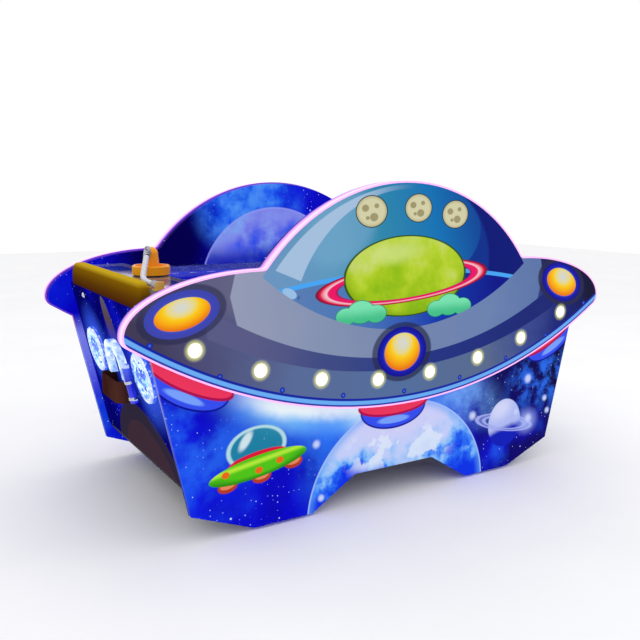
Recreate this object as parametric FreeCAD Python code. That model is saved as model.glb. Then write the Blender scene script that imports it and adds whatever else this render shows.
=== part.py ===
import FreeCAD, Part
import math
import os
from FreeCAD import Matrix, Placement, Rotation, Vector

# Children's air hockey table with flying-saucer sides, in millimetres.
# +X runs along the table, +Y from the front saucer to the back one, +Z is up and z = 0 is the floor.
# Every height below is a height above the floor.

# ---- driving dimensions ----
WIDTH = 810.0  # over both printed saucer faces
GAP = 8.0  # under the side boards, left by the levelling feet

# saucer outline: a shallow arc below, a small arc at each tip, a quarter ellipse above, then the dome
HALF_LENGTH = 805.0  # tip of the light band
HULL_LOW_Z = GAP + 282
HULL_R = 1450.0
TIP_Z = GAP + 543
SHOULDER_Z = GAP + 685
DOME_TOP_Z = GAP + 906
DOME_R = 554.0
NECK_R = 14.0  # concave corner between shoulder and dome

BAND = 5.0  # the light band, all round the printed face
FACE_T = 4.0
LIGHT_BOX = 34.0  # depth of the lit saucer, printed face to side board
BOARD_T = 18.0
FRAME_POCKETS = ((0, 592, 270), (400, 567, 105), (600, 562, 75))  # x, height over the lower edge, radius

# base part of the side boards
FOOT_OUT_X = 459.0
FOOT_IN_X = 281.0
ARCH_X = 140.0
ARCH_Z = GAP + 87
CORNER_X = 635.0
CORNER_Z = GAP + 69
SLOPE = 0.225  # how far the ends lean out, per unit of height

# end walls, rail, deck and playfield
WALL_T = 15.0
WALL_X = 612.0  # outer face at WALL_REF_Z
WALL_REF_Z = GAP + 59
WALL_LOW_Z = GAP + 119
WALL_TOP_Z = GAP + 588
RAIL_IN_X = 706.0
RAIL_OUT_X = 733.0
RAIL_Y = 322.0
RAIL_END_R = 45.0
RAIL_TOP_Z = GAP + 655
DECK_X = 560.0
DECK_Z = GAP + 640
DECK_T = 14.0
FIELD_X = 575.0
FIELD_Y = 325.0
FIELD_Z = GAP + 607
FIELD_T = 16.0
GOAL_Y = 125.0
PLENUM_T = 12.0
PLENUM_H = 70.0
FLOOR_T = 12.0

# round fittings of the ends
SPEAKER_Y = 212.0
SPEAKER_Z = GAP + 400
SPEAKER_R = 70.0
CONE_R = 55.0
POCKET_Y = 50.0
POCKET_Z = GAP + 358
POCKET_SPRING_Z = GAP + 397
HOOD_R = 68.0
HOOD_PROUD = 20.0
TRAY_Y = 82.0
TRAY_Z = GAP + 300
TRAY_PROUD = 46.0
TUBE_Y = -119.0  # on the left end; turned with the end on the right
TUBE_R = 10.0
TUBE_LOW_Z = GAP + 314
TUBE_HIGH_Z = GAP + 422
CLAMP_ZS = (GAP + 329, GAP + 374)

LAMPS = ((92, 364), (277, 387), (457, 431), (631, 500))  # x and height over the boards' lower edge
LAMP_R = 18.0
LAMP_SHANK_R = 14.0

MALLET_X = 599.0
MALLET_Y = 20.0
MALLET_R = 52.0
MALLET_H = 79.0
FELT_T = 3.0
PUCK_R = 32.0
PUCK_T = 7.0

FOOT_X = 370.0
FOOT_Y = 331.0
STEM_R = 5.0
RUNNING = 0.05  # radial clearance of shafts in their holes
SLACK = 2.0  # gap round doors and drawers

CORD_R = 7.5
FERRULE_R = 9.5
CORD_TOP = (-613.0, -30.0, 715.0)  # where the tether leaves the mallet's knob
CORD_ROUTE = [
    (-628.4, -67.2, 703.0),
    (-645.5, -106.0, 688.0),
    (-665.0, -150.5, 672.0),
    (-682.0, -196.0, 662.5),
    (-690.5, -236.0, 659.0),
    (-693.5, -270.0, 658.5),
    (-692.0, -300.0, 658.5),
]
CORD_END = (-690.0, -334.0, 658.5)

# ---- values worked out from the driving dimensions ----
LEAN = math.degrees(math.atan(SLOPE))
FACE_Y = WIDTH / 2
BOX_Y = FACE_Y - LIGHT_BOX
INNER_Y = BOX_Y - BOARD_T
WIDE = 2000.0  # longer than the table, for cutting tools


def box(x0, x1, y0, y1, z0, z1):
    return Part.makeBox(x1 - x0, y1 - y0, z1 - z0, Vector(x0, y0, z0))


def rod(start, axis, radius, length):
    return Part.makeCylinder(radius, length, Vector(*start), Vector(*axis))


def ring(start, axis, outer, inner, length):
    return rod(start, axis, outer, length).cut(rod(start, axis, inner, length))


def prism(points, direction):
    """A straight-sided solid from 3-D corner points, swept along direction."""
    wire = Part.makePolygon([Vector(*p) for p in points + [points[0]]])
    return Part.Face(wire).extrude(Vector(*direction))


def prism_xz(points, y0, y1):
    return prism([(x, y0, z) for x, z in points], (0, y1 - y0, 0))


def prism_yz(points, x0, x1):
    return prism([(x0, y, z) for y, z in points], (x1 - x0, 0, 0))


def turned(shape):
    """The same piece at the other end or side: half a turn about Z."""
    copy = shape.copy()
    copy.rotate(Vector(0, 0, 0), Vector(0, 0, 1), 180)
    return copy


def both(shape):
    return Part.makeCompound([shape, turned(shape)])


def mirrored_y(shape):
    return shape.mirror(Vector(0, 0, 0), Vector(0, 1, 0))


def joined(shapes):
    return shapes[0].fuse(shapes[1:]).removeSplitter()


def save(name, shape):
    solids = shape.Solids
    if not solids or not all(s.isValid() and s.Volume > 0 for s in solids):
        raise ValueError(name + " isn't a valid solid")
    out = solids[0] if len(solids) == 1 else Part.makeCompound(solids)
    out.exportStep("parts/" + name + ".step")
    print(f"{name}: {len(solids)} solid(s), {shape.Volume / 1e6:.3f} litres")


# ---- the saucer outline ----
def outline(inset):
    """The saucer's closed outline in the XZ plane, moved inwards by inset."""
    half = HALF_LENGTH - inset
    hull_r = HULL_R - inset
    dome_r = DOME_R - inset
    neck_r = NECK_R + inset
    shoulder = SHOULDER_Z - inset
    hull_c = HULL_LOW_Z + HULL_R
    dome_c = DOME_TOP_Z - DOME_R
    # the tip arc touches the vertical through the tip and, from inside, the hull arc
    tip_r = (hull_r**2 - half**2 - (hull_c - TIP_Z) ** 2) / (2 * (hull_r - half))
    tip_c = Vector(half - tip_r, 0, TIP_Z)
    to_hull = (tip_c - Vector(0, 0, hull_c)).normalize()
    hull_end = tip_c + to_hull * tip_r
    tip_mid = tip_c + (to_hull + Vector(1, 0, 0)).normalize() * tip_r
    # the neck arc touches the shoulder's level line and the dome from outside
    neck_z = shoulder + neck_r
    neck_x = math.sqrt((dome_r + neck_r) ** 2 - (neck_z - dome_c) ** 2)
    neck_c = Vector(neck_x, 0, neck_z)
    to_dome = (Vector(0, 0, dome_c) - neck_c).normalize()
    neck_end = neck_c + to_dome * neck_r
    neck_mid = neck_c + (to_dome + Vector(0, 0, -1)).normalize() * neck_r
    shoulder_end = Vector(neck_x, 0, shoulder)

    def flipped(p):
        return Vector(-p.x, p.y, p.z)

    def quarter(side):
        """The quarter ellipse from shoulder to tip."""
        wide, high = half - neck_x, shoulder - TIP_Z
        turn = Rotation() if wide >= high else Rotation(Vector(0, 1, 0), 90)
        ellipse = Part.Ellipse(Vector(0, 0, 0), max(wide, high), min(wide, high))
        edge = ellipse.toShape(0, math.pi / 2)
        edge.rotate(Vector(0, 0, 0), Vector(1, 0, 0), 90)
        edge.Placement = Placement(Vector(neck_x, 0, TIP_Z), turn).multiply(edge.Placement)
        if side < 0:
            flip = Matrix()
            flip.A11 = -1
            return edge.transformGeometry(flip)
        return edge

    tip = Vector(half, 0, TIP_Z)
    low = Vector(0, 0, hull_c - hull_r)
    top = Vector(0, 0, dome_c + dome_r)
    edges = [Part.Arc(flipped(hull_end), low, hull_end).toShape()]
    edges += [Part.Arc(flipped(neck_end), top, neck_end).toShape()]
    edges += [Part.Arc(hull_end, tip_mid, tip).toShape()]
    edges += [Part.Arc(flipped(hull_end), flipped(tip_mid), flipped(tip)).toShape()]
    edges += [Part.Arc(neck_end, neck_mid, shoulder_end).toShape()]
    edges += [Part.Arc(flipped(neck_end), flipped(neck_mid), flipped(shoulder_end)).toShape()]
    edges += [quarter(1), quarter(-1)]
    return Part.Wire(Part.__sortEdges__(edges))


def slab(inset, y0, y1):
    """The saucer outline as a plate between two Y planes."""
    plate = Part.Face(outline(inset)).extrude(Vector(0, y1 - y0, 0))
    plate.translate(Vector(0, y0, 0))
    return plate


# ---- side assemblies, made for the front (-Y) and turned for the back ----
def side_board():
    corner_top_z = TIP_Z
    half_at_top = CORNER_X + SLOPE * (corner_top_z - CORNER_Z)
    half = [(0, ARCH_Z), (ARCH_X, ARCH_Z), (FOOT_IN_X, GAP), (FOOT_OUT_X, GAP)]
    half += [(CORNER_X, CORNER_Z), (half_at_top, corner_top_z)]
    points = half[1:] + [(-x, z) for x, z in reversed(half[1:])]
    base = prism_xz(points, -BOX_Y, -INNER_Y)
    return joined([slab(BAND, -BOX_Y, -INNER_Y), base])


def saucer_frame():
    """The board that spaces the printed face off the side board, with round pockets and lamp holes."""
    front, back = -(FACE_Y - FACE_T), -BOX_Y
    holes = [(x, GAP + z, r) for x, z, r in FRAME_POCKETS] + [(-x, GAP + z, r) for x, z, r in FRAME_POCKETS[1:]]
    holes += [(x, z, LAMP_R) for x, z in lamp_places()]
    cutters = [rod((x, front, z), (0, 1, 0), r, back - front) for x, z, r in holes]
    return slab(BAND, front, back).cut(cutters)


def lamp_places():
    return [(s * x, GAP + z) for x, z in LAMPS for s in (-1, 1)]


def saucer_face():
    plate = slab(BAND, -FACE_Y, -(FACE_Y - FACE_T))
    holes = [rod((x, -FACE_Y, z), (0, 1, 0), LAMP_SHANK_R, FACE_T) for x, z in lamp_places()]
    return plate.cut(holes)


def edge_light():
    return slab(0, -FACE_Y, -BOX_Y).cut(slab(BAND, -FACE_Y, -BOX_Y))


def lamps():
    """Eight push-in lamp caps: a domed lens proud of the face, on a shank through it."""
    proud = 4.0
    ball_r = (LAMP_R**2 + proud**2) / (2 * proud)
    caps = []
    for x, z in lamp_places():
        ball = Part.makeSphere(ball_r, Vector(x, -FACE_Y - proud + ball_r, z))
        lens = ball.common(rod((x, -FACE_Y, z), (0, -1, 0), LAMP_R + 1, proud + 1))
        caps.append(joined([lens, rod((x, -FACE_Y, z), (0, 1, 0), LAMP_SHANK_R, 22)]))
    return Part.makeCompound(caps)


# ---- end assemblies, made for the right (+X) and turned for the left ----
def wall_x(z):
    """The outer face of the right end wall at height z."""
    return WALL_X + SLOPE * (z - WALL_REF_Z)


def on_wall(shape, y, z):
    """Stands a piece on the right wall's outer face: its own +X points straight out of the wall."""
    placed = shape.copy()
    placed.rotate(Vector(0, 0, 0), Vector(0, 1, 0), LEAN)
    placed.translate(Vector(wall_x(z), y, z))
    return placed


def inside_wall():
    """All the space on the table's side of the right wall's inner face."""
    low, high = 0, WALL_TOP_Z
    points = [(0, low), (wall_x(low) - WALL_T, low), (wall_x(high) - WALL_T, high), (0, high)]
    return prism_xz(points, -INNER_Y, INNER_Y)


def pocket_cut(radius, low_z, x0, x1):
    """The arched opening that the puck comes out of, as a solid along X."""
    arch = rod((x0, 0, POCKET_SPRING_Z), (1, 0, 0), radius, x1 - x0)
    upper = arch.common(box(x0, x1, -radius, radius, POCKET_SPRING_Z, POCKET_SPRING_Z + radius))
    return joined([upper, box(x0, x1, -radius, radius, low_z, POCKET_SPRING_Z)])


COIN = (-180.0, -70.0, GAP + 150, GAP + 290)  # low y, high y, low z, high z
DRAWER = (-55.0, 45.0, GAP + 150, GAP + 240)
SERVICE = (70.0, 290.0, GAP + 145, GAP + 285)
INLET = (-300.0, -230.0, GAP + 150, GAP + 190)


def opening(place, grow=0.0):
    y0, y1, z0, z1 = place
    return box(500, 800, y0 - grow, y1 + grow, z0 - grow, z1 + grow)


def plain_wall():
    points = [(wall_x(WALL_LOW_Z), WALL_LOW_Z), (wall_x(WALL_TOP_Z), WALL_TOP_Z)]
    points += [(x - WALL_T, z) for x, z in reversed(points)]
    wall = prism_xz(points, -INNER_Y, INNER_Y)
    holes = [on_wall(rod((-60, 0, 0), (1, 0, 0), CONE_R + 6, 120), y, SPEAKER_Z)
             for y in (-SPEAKER_Y, SPEAKER_Y)]
    return wall.cut(holes + [pocket_cut(POCKET_Y, POCKET_Z, 500, 900)])


def service_wall():
    """The right end wall, with the coin unit, cash drawer, service door and power inlet in it."""
    y0, y1, z0, z1 = COIN
    behind_coins = (y0 + 15, y1 - 15, z0 + 15, z1 - 15)
    cuts = [opening(behind_coins), opening(DRAWER, SLACK), opening(SERVICE, SLACK)]
    cuts.append(on_wall(inlet_body(60), 0, (INLET[2] + INLET[3]) / 2))
    return plain_wall().cut(cuts)


def rail():
    """A cap along the top of the end wall, with rounded ends and a rounded top."""
    body = box(RAIL_IN_X, RAIL_OUT_X, -RAIL_Y, RAIL_Y, WALL_TOP_Z, RAIL_TOP_Z)
    ends = [e for e in body.Edges if e.BoundBox.ZMin > RAIL_TOP_Z - 1 and e.BoundBox.YLength < 1]
    body = body.makeFillet(RAIL_END_R, ends)
    outer = [e for e in body.Edges
             if e.BoundBox.XMin > RAIL_OUT_X - 1 and e.BoundBox.ZMax > WALL_TOP_Z + 1]
    return body.makeFillet(8, outer)


def deck():
    plate = box(DECK_X, RAIL_IN_X, -INNER_Y, INNER_Y, DECK_Z - DECK_T, DECK_Z)
    lip = [e for e in plate.Edges if e.BoundBox.XMax < DECK_X + 1 and e.BoundBox.ZMin > DECK_Z - 1]
    return plate.makeFillet(3, lip)


def speaker_bezel():
    flange = ring((0, 0, 0), (1, 0, 0), SPEAKER_R, CONE_R, 12)
    rim = [e for e in flange.Edges if e.BoundBox.XMin > 11 and e.BoundBox.YLength > 2 * CONE_R + 5]
    flange = flange.makeFillet(5, rim)
    spigot = ring((-20, 0, 0), (1, 0, 0), CONE_R + 5, CONE_R, 20)
    return joined([flange, spigot])


def speaker_cone():
    """A shallow lit dish, the cone behind it and its magnet."""
    dish = rod((2, 0, 0), (1, 0, 0), CONE_R, 6)
    cone = Part.makeCone(CONE_R, 28, 26, Vector(2, 0, 0), Vector(-1, 0, 0))
    magnet = rod((-24, 0, 0), (-1, 0, 0), 34, 22)
    return joined([dish, cone, magnet])


def at_speakers(shape):
    return Part.makeCompound([on_wall(shape, y, SPEAKER_Z) for y in (-SPEAKER_Y, SPEAKER_Y)])


def puck_hood():
    """The lit arch round the puck opening, standing on the wall."""
    low = TRAY_Z + 60
    x0, x1 = 600, 800
    arch = pocket_cut(HOOD_R, low, x0, x1).cut(pocket_cut(POCKET_Y, low - 1, x0, x1))
    skin = [(wall_x(0), 0), (wall_x(WALL_TOP_Z), WALL_TOP_Z)]
    skin += [(x + HOOD_PROUD, z) for x, z in reversed(skin)]
    return arch.common(prism_xz(skin, -INNER_Y, INNER_Y))


def puck_tray():
    """The cup that catches the puck under the arch."""
    height, wall = 60, 5
    back, front = wall_x(TRAY_Z), wall_x(TRAY_Z) + TRAY_PROUD
    high = TRAY_Z + height
    body = box(back - 20, front + 12, -TRAY_Y, TRAY_Y, TRAY_Z, high)
    corners = [e for e in body.Edges if e.BoundBox.ZLength > height - 1 and e.BoundBox.XMin > front]
    body = body.makeFillet(24, corners)
    hollow = box(back - 40, front + 12 - wall, wall - TRAY_Y, TRAY_Y - wall, TRAY_Z + wall, high)
    inner = [e for e in hollow.Edges if e.BoundBox.ZLength > height - wall - 1 and e.BoundBox.XMin > front]
    hollow = hollow.makeFillet(20, inner)
    outside = [(wall_x(0), 0), (WIDE, 0), (WIDE, WIDE), (wall_x(WIDE), WIDE)]
    return body.cut(hollow).common(prism_xz(outside, -INNER_Y, INNER_Y))


def puck_chute():
    """A sheet funnel under the goal: sloping sides, then a floor that slopes to the arch."""
    sheet = 3.0
    back_x = DECK_X - 10
    top_z, neck_z = FIELD_Z - FIELD_T - 2, POCKET_SPRING_Z + 45
    mouth_z = POCKET_Z - 2
    side = [(GOAL_Y, top_z), (POCKET_Y + 1, neck_z), (POCKET_Y + 1, mouth_z)]
    side += [(POCKET_Y + 1 + sheet, mouth_z), (POCKET_Y + 1 + sheet, neck_z - 2), (GOAL_Y + sheet, top_z)]
    guide = prism_yz(side, back_x, WIDE)
    shape = side[3:] + [(-y, z) for y, z in reversed(side[3:])]
    back = prism_yz(shape, back_x, back_x + sheet)
    floor_back_z = mouth_z + 50
    run_end = wall_x(POCKET_Z)
    ramp = [(back_x, floor_back_z), (run_end, mouth_z), (run_end, mouth_z - sheet)]
    ramp += [(back_x, floor_back_z - sheet)]
    floor = prism_xz(ramp, -POCKET_Y - 1 - sheet, POCKET_Y + 1 + sheet)
    whole = joined([guide, mirrored_y(guide), back, floor])
    return whole.common(inside_wall())


def light_tube():
    length = (TUBE_HIGH_Z - TUBE_LOW_Z) / math.cos(math.radians(LEAN))
    tube = rod((2 * TUBE_R, 0, 0), (0, 0, 1), TUBE_R, length)
    tips = [e for e in tube.Edges if e.BoundBox.ZLength < 1]
    return on_wall(tube.makeFillet(3, tips), -TUBE_Y, TUBE_LOW_Z)


def wall_fixings():
    """Clamps that hold the light tube, and the button-head screws under the rail."""
    pieces = []
    for z in CLAMP_ZS:
        band = ring((2 * TUBE_R, 0, -4), (0, 0, 1), TUBE_R + 3, TUBE_R, 8)
        stem = box(0, TUBE_R, -4, 4, -4, 4).cut(rod((2 * TUBE_R, 0, -4), (0, 0, 1), TUBE_R + 1, 8))
        pieces.append(on_wall(joined([band, stem]), -TUBE_Y, z))
    for y in (-225, 225):
        head = Part.makeSphere(10, Vector(-5, 0, 0)).common(rod((0, 0, 0), (1, 0, 0), 9, 6))
        pieces.append(on_wall(head, y, GAP + 562))
    return Part.makeCompound(pieces)


# ---- bed of the table ----
def playfield():
    return box(-FIELD_X, FIELD_X, -FIELD_Y, FIELD_Y, FIELD_Z - FIELD_T, FIELD_Z)


def side_rail():
    """The cushion strip between playfield and front board."""
    return box(-RAIL_IN_X, RAIL_IN_X, -INNER_Y, -FIELD_Y, FIELD_Z - FIELD_T, DECK_Z - DECK_T)


def goal_bars():
    """Cushions that close the ends of the playfield on each side of the goals."""
    top = DECK_Z - DECK_T
    bar = box(DECK_X, FIELD_X, GOAL_Y, FIELD_Y, FIELD_Z, top)
    pair = [bar, mirrored_y(bar)]
    return Part.makeCompound(pair + [turned(b) for b in pair])


def plenum():
    top = FIELD_Z - FIELD_T
    x, y = DECK_X - 14, FIELD_Y
    shell = box(-x, x, -y, y, top - PLENUM_H, top)
    t = PLENUM_T
    air = box(t - x, x - t, t - y, y - t, top - PLENUM_H + t, top)
    return shell.cut([air, duct_box(0)])


BLOWER = (150.0, 0.0, GAP + 380)
BLOWER_R = 92.0
BLOWER_Y = 36.0
DUCT = (-92.0, -24.0)  # the duct's sides, from the blower's axis
SHEET = 3.0


def duct_box(grow):
    """The outlet duct's outer space, from the blower's axis up into the plenum."""
    cx, _, cz = BLOWER
    y = BLOWER_Y + grow
    return box(cx + DUCT[0] - grow, cx + DUCT[1] + grow, -y, y, cz, FIELD_Z - FIELD_T - PLENUM_H + PLENUM_T)


def blower_housing():
    cx, _, cz = BLOWER
    drum = rod((cx, -BLOWER_Y, cz), (0, 1, 0), BLOWER_R, 2 * BLOWER_Y)
    hollow = rod((cx, SHEET - BLOWER_Y, cz), (0, 1, 0), BLOWER_R - SHEET, 2 * (BLOWER_Y - SHEET))
    duct = duct_box(0)
    duct_air = box(cx + DUCT[0] + SHEET, cx + DUCT[1] - SHEET, SHEET - BLOWER_Y, BLOWER_Y - SHEET, cz, 700)
    eye = rod((cx, -BLOWER_Y, cz), (0, 1, 0), 45, SHEET)
    shaft = rod((cx, BLOWER_Y - SHEET, cz), (0, 1, 0), STEM_R + RUNNING, SHEET)
    legs = [box(cx + x - 15, cx + x + 15, -BLOWER_Y, SHEET - BLOWER_Y, WALL_LOW_Z, cz - 40) for x in (-60, 60)]
    feet = [box(cx + x - 15, cx + x + 15, -BLOWER_Y, 20 - BLOWER_Y, WALL_LOW_Z, WALL_LOW_Z + SHEET)
            for x in (-60, 60)]
    return joined([drum, duct] + legs + feet).cut([hollow, duct_air, eye, shaft])


def blower_motor():
    cx, _, cz = BLOWER
    can = rod((cx, BLOWER_Y, cz), (0, 1, 0), 52, 90)
    rims = [e for e in can.Edges if e.BoundBox.YLength < 1 and e.BoundBox.YMin > BLOWER_Y + 50]
    can = can.makeFillet(10, rims)
    well = rod((cx, BLOWER_Y, cz), (0, 1, 0), STEM_R + RUNNING, 34)
    saddle = box(cx - 40, cx + 40, BLOWER_Y + 20, BLOWER_Y + 70, WALL_LOW_Z, cz - 30)
    slot = box(cx - 34, cx + 34, BLOWER_Y + 20, BLOWER_Y + 70, WALL_LOW_Z + 6, cz - 60)
    return joined([can, saddle.cut(slot)]).cut(well)


def blower_impeller():
    """A drum of forward-curved blades on a back plate, with its shaft."""
    cx, _, cz = BLOWER
    half = BLOWER_Y - SHEET - 4
    back = rod((cx, half - 3, cz), (0, 1, 0), 66, 3)
    front = ring((cx, -half, cz), (0, 1, 0), 66, 50, 3)
    shaft = rod((cx, -half + 10, cz), (0, 1, 0), STEM_R, BLOWER_Y + 30 + half - 10)
    hub = rod((cx, half - 20, cz), (0, 1, 0), 14, 18)
    blades = []
    for i in range(24):
        blade = box(cx + 52, cx + 65, -half, half, cz - 1, cz + 1)
        blade.rotate(Vector(cx + 58, 0, cz), Vector(0, 1, 0), 35)
        blade.rotate(Vector(cx, 0, cz), Vector(0, 1, 0), 15 * i)
        blades.append(blade)
    return joined([back, front, shaft, hub] + blades)


def base_panel():
    x = wall_x(WALL_LOW_Z) - 5
    panel = box(-x, x, -INNER_Y, INNER_Y, WALL_LOW_Z - FLOOR_T, WALL_LOW_Z)
    return panel.cut([rod((x_vent, 0, 0), (0, 0, 1), 40, WIDE) for x_vent in (-60, 60)])


def foot_blocks():
    """Hardwood blocks inside the four legs, drilled for the levelling feet."""
    blocks = []
    for x in (-FOOT_X, FOOT_X):
        for y in (-FOOT_Y, FOOT_Y):
            block = box(x - 35, x + 35, y - 22, y + 22, GAP, GAP + 107)
            blocks.append(block.cut(rod((x, y, 0), (0, 0, 1), STEM_R + RUNNING, GAP + 70)))
    return Part.makeCompound(blocks)


def foot(x, y):
    pad = Part.makeCone(20, 17, 7, Vector(x, y, 0))
    return joined([pad, rod((x, y, 5), (0, 0, 1), STEM_R, 50)])


# ---- electrics and money, at the right end ----
def power_box():
    body = box(-330, -130, -70, 70, WALL_LOW_Z, WALL_LOW_Z + 70)
    slots = [box(-315 + 18 * i, -307 + 18 * i, -80, 80, WALL_LOW_Z + 20, WALL_LOW_Z + 50) for i in range(10)]
    hollow = box(-327, -133, -67, 67, WALL_LOW_Z + 3, WALL_LOW_Z + 67)
    board = box(-320, -140, -60, 60, WALL_LOW_Z + 6, WALL_LOW_Z + 14)
    return Part.makeCompound([body.cut([hollow] + slots), board])


def inlet_body(depth):
    """The inlet's own box behind the wall's face, before it is stood on the wall."""
    y0, y1, z0, z1 = INLET
    half = (z1 - z0) / 2
    return box(-depth, 0, y0, y1, -half, half)


ROCKER_AXLE = (-6.0, 0.0)  # behind the wall's face, and above the inlet's middle
AXLE_R = 2.0


def power_inlet():
    """Inlet socket and switch frame, set in the wall."""
    y0, y1, z0, z1 = INLET
    zc = (z0 + z1) / 2
    body = inlet_body(30)
    flange = box(0, 3, y0 - 8, y1 + 8, z0 - zc - 8, z1 - zc + 8)
    well = box(-22, 3, y0 + 8, y0 + 34, -11, 11)
    pins = [box(-24, -6, y0 + 20 + dy, y0 + 22 + dy, dz - 2, dz + 2) for dy, dz in ((-7, -3), (0, 4), (7, -3))]
    window = box(-22, 3, y0 + 43, y0 + 63, -16, 16)
    bearing = rod((ROCKER_AXLE[0], y0 + 40, ROCKER_AXLE[1]), (0, 1, 0), AXLE_R + RUNNING, 26)
    shell = joined([body, flange]).cut([well, window, bearing])
    return on_wall(joined([shell] + pins), 0, zc)


def power_switch():
    """A rocker that turns about a line along Y, 6 mm behind the wall's face."""
    y0, _, z0, z1 = INLET
    rocker = prism([(-14, 0, -12.5), (2, 0, -12.5), (0, 0, 0), (4, 0, 12.5), (-10, 0, 12.5)], (0, 17, 0))
    axle = rod((ROCKER_AXLE[0], -3.5, ROCKER_AXLE[1]), (0, 1, 0), AXLE_R, 24)
    return on_wall(joined([rocker, axle]), y0 + 44.5, (z0 + z1) / 2)


def coin_plate():
    y0, y1, z0, z1 = COIN
    zc, yc = (z0 + z1) / 2, (y0 + y1) / 2
    half_y, half_z = (y1 - y0) / 2, (z1 - z0) / 2
    plate = box(0, 4, -half_y, half_y, -half_z, half_z)
    corners = [e for e in plate.Edges if e.BoundBox.XLength > 3]
    plate = plate.makeFillet(8, corners)
    slot = box(-1, 12, -16, -13, 12, 42)
    boss = box(4, 10, -22, -7, 8, 46)
    cup = box(-30, 4, -30, 30, -56, -20)
    cup_air = box(-27, 5, -27, 27, -53, -23)
    button_hole = rod((-10, 24, 26), (1, 0, 0), 9 + RUNNING, 30)
    sleeve = rod((-12, 24, 26), (1, 0, 0), 13, 12)
    mech = box(-70, 0, -34, 8, -14, 52)
    whole = joined([plate, boss, cup, sleeve, mech]).cut([slot, cup_air, button_hole])
    return on_wall(whole, yc, zc)


def coin_button():
    y0, y1, z0, z1 = COIN
    cap = rod((-5, 24, 26), (1, 0, 0), 9, 15)
    tip = [e for e in cap.Edges if e.BoundBox.XMin > 9]
    return on_wall(cap.makeFillet(2, tip), (y0 + y1) / 2, (z0 + z1) / 2)


def drawer_front_space(place):
    """The wall's own thickness, over one opening."""
    z0, z1 = place[2], place[3]
    points = [(wall_x(z0), z0), (wall_x(z1), z1), (wall_x(z1) - WALL_T, z1), (wall_x(z0) - WALL_T, z0)]
    return prism_xz(points, place[0], place[1])


LOCK_R = 9.0
CASH_LOCK = (-5.0, GAP + 222)
SERVICE_LOCK = (180.0, GAP + 268)


def lock_hole(place):
    y, z = place
    return on_wall(rod((-WALL_T - 5, 0, 0), (1, 0, 0), LOCK_R + RUNNING, WALL_T + 20), y, z)


def lock(place):
    """A barrel with its key slot, and a short cam behind the panel."""
    y, z = place
    barrel = rod((-WALL_T - 4, 0, 0), (1, 0, 0), LOCK_R, WALL_T + 8)
    slot = box(0, 6, -1, 1, -4.5, 4.5)
    cam = box(-WALL_T - 7, -WALL_T - 4, -7, 7, -12, 7)
    return on_wall(joined([barrel, cam]).cut(slot), y, z)


def cash_drawer():
    y0, y1, z0, z1 = DRAWER
    back = wall_x(z0) - WALL_T
    tray = box(back - 150, back + 4, y0, y1, z0, z1 - 34)
    hollow = box(back - 146, back, y0 + 4, y1 - 4, z0 + 4, z1)
    return joined([drawer_front_space(DRAWER), tray.cut(hollow)]).cut(lock_hole(CASH_LOCK))


def drawer_guide():
    """A tray-shaped channel that carries the cash drawer, standing on the base panel."""
    y0, y1, z0, z1 = DRAWER
    back = wall_x(z0) - WALL_T - 8
    channel = box(back - 160, back, y0 - 6, y1 + 6, z0 - 5, z0 + 25)
    inside = box(back - 160, back, y0 - 1, y1 + 1, z0 - 1, z1)
    legs = box(back - 150, back - 10, y0 + 10, y1 - 10, WALL_LOW_Z, z0 - 5)
    arch = box(back - 130, back - 30, y0, y1, WALL_LOW_Z, z0 - 8)
    return joined([channel.cut(inside), legs.cut(arch)])


HINGE_R = 4.0
HINGE_PROUD = 1.0  # between the knuckles and the wall


def hinge_line():
    """A point of the service door's hinge axis, which runs along Y at its lower edge."""
    z = SERVICE[2] - SLACK / 2
    return wall_x(z) + HINGE_R + HINGE_PROUD, z


def service_door():
    x, z = hinge_line()
    y0, y1 = SERVICE[0], SERVICE[1]
    knuckle = rod((x, y0 + 70, z), (0, 1, 0), HINGE_R, 80)
    leaf = box(0, 1.5, y0 + 70, y1 - 70, 2, 24)
    hole = rod((x, y0, z), (0, 1, 0), 1.5 + RUNNING, y1 - y0)
    vents = [box(500, 900, y0 + 30, y1 - 30, zv, zv + 6) for zv in (GAP + 190, GAP + 206, GAP + 222)]
    panel = drawer_front_space(SERVICE).cut(lock_hole(SERVICE_LOCK)).cut(vents)
    web = box(x - HINGE_R - HINGE_PROUD, x, y0 + 70, y1 - 70, z, z + 4)
    door = joined([panel, knuckle, on_wall(leaf, 0, z), web])
    return door.cut(hole)


def service_hinge():
    x, z = hinge_line()
    y0, y1 = SERVICE[0], SERVICE[1]
    pieces = [rod((x, y0 + 20, z), (0, 1, 0), 1.5, y1 - y0 - 40)]
    for low, high in ((y0 + 20, y0 + 69.5), (y1 - 69.5, y1 - 20)):
        pieces.append(rod((x, low, z), (0, 1, 0), HINGE_R, high - low))
        pieces.append(on_wall(box(0, 1.5, low, high, -24, -2), 0, z))
        pieces.append(box(x - HINGE_R - HINGE_PROUD, x, low, high, z - 4, z))
    return joined(pieces)


# ---- loose pieces ----
def mallet():
    """Turned from one profile: skirt, dished ring and bullet knob."""
    low = DECK_Z + FELT_T
    top = DECK_Z + MALLET_H
    knob_r, crown_r = 23.0, 19.5

    def at(r, z):
        return Vector(r, 0, z)

    path = [at(0, low), at(MALLET_R, low), at(MALLET_R, low + 22), at(MALLET_R - 3, low + 25)]
    path += [at(MALLET_R - 8, low + 25), at(MALLET_R - 12, low + 12), at(knob_r + 6, low + 9)]
    path += [at(knob_r, low + 15), at(crown_r, top - crown_r)]
    mid = math.sqrt(0.5)
    crown = at(crown_r * mid, top - crown_r + crown_r * mid)
    edges = [Part.makeLine(a, b) for a, b in zip(path, path[1:])]
    edges += [Part.Arc(path[-1], crown, at(0, top)).toShape(), Part.makeLine(at(0, top), path[0])]
    solid = Part.Face(Part.Wire(edges)).revolve(Vector(0, 0, 0), Vector(0, 0, 1), 360)
    solid.translate(Vector(-MALLET_X, -MALLET_Y, 0))
    return solid


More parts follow.
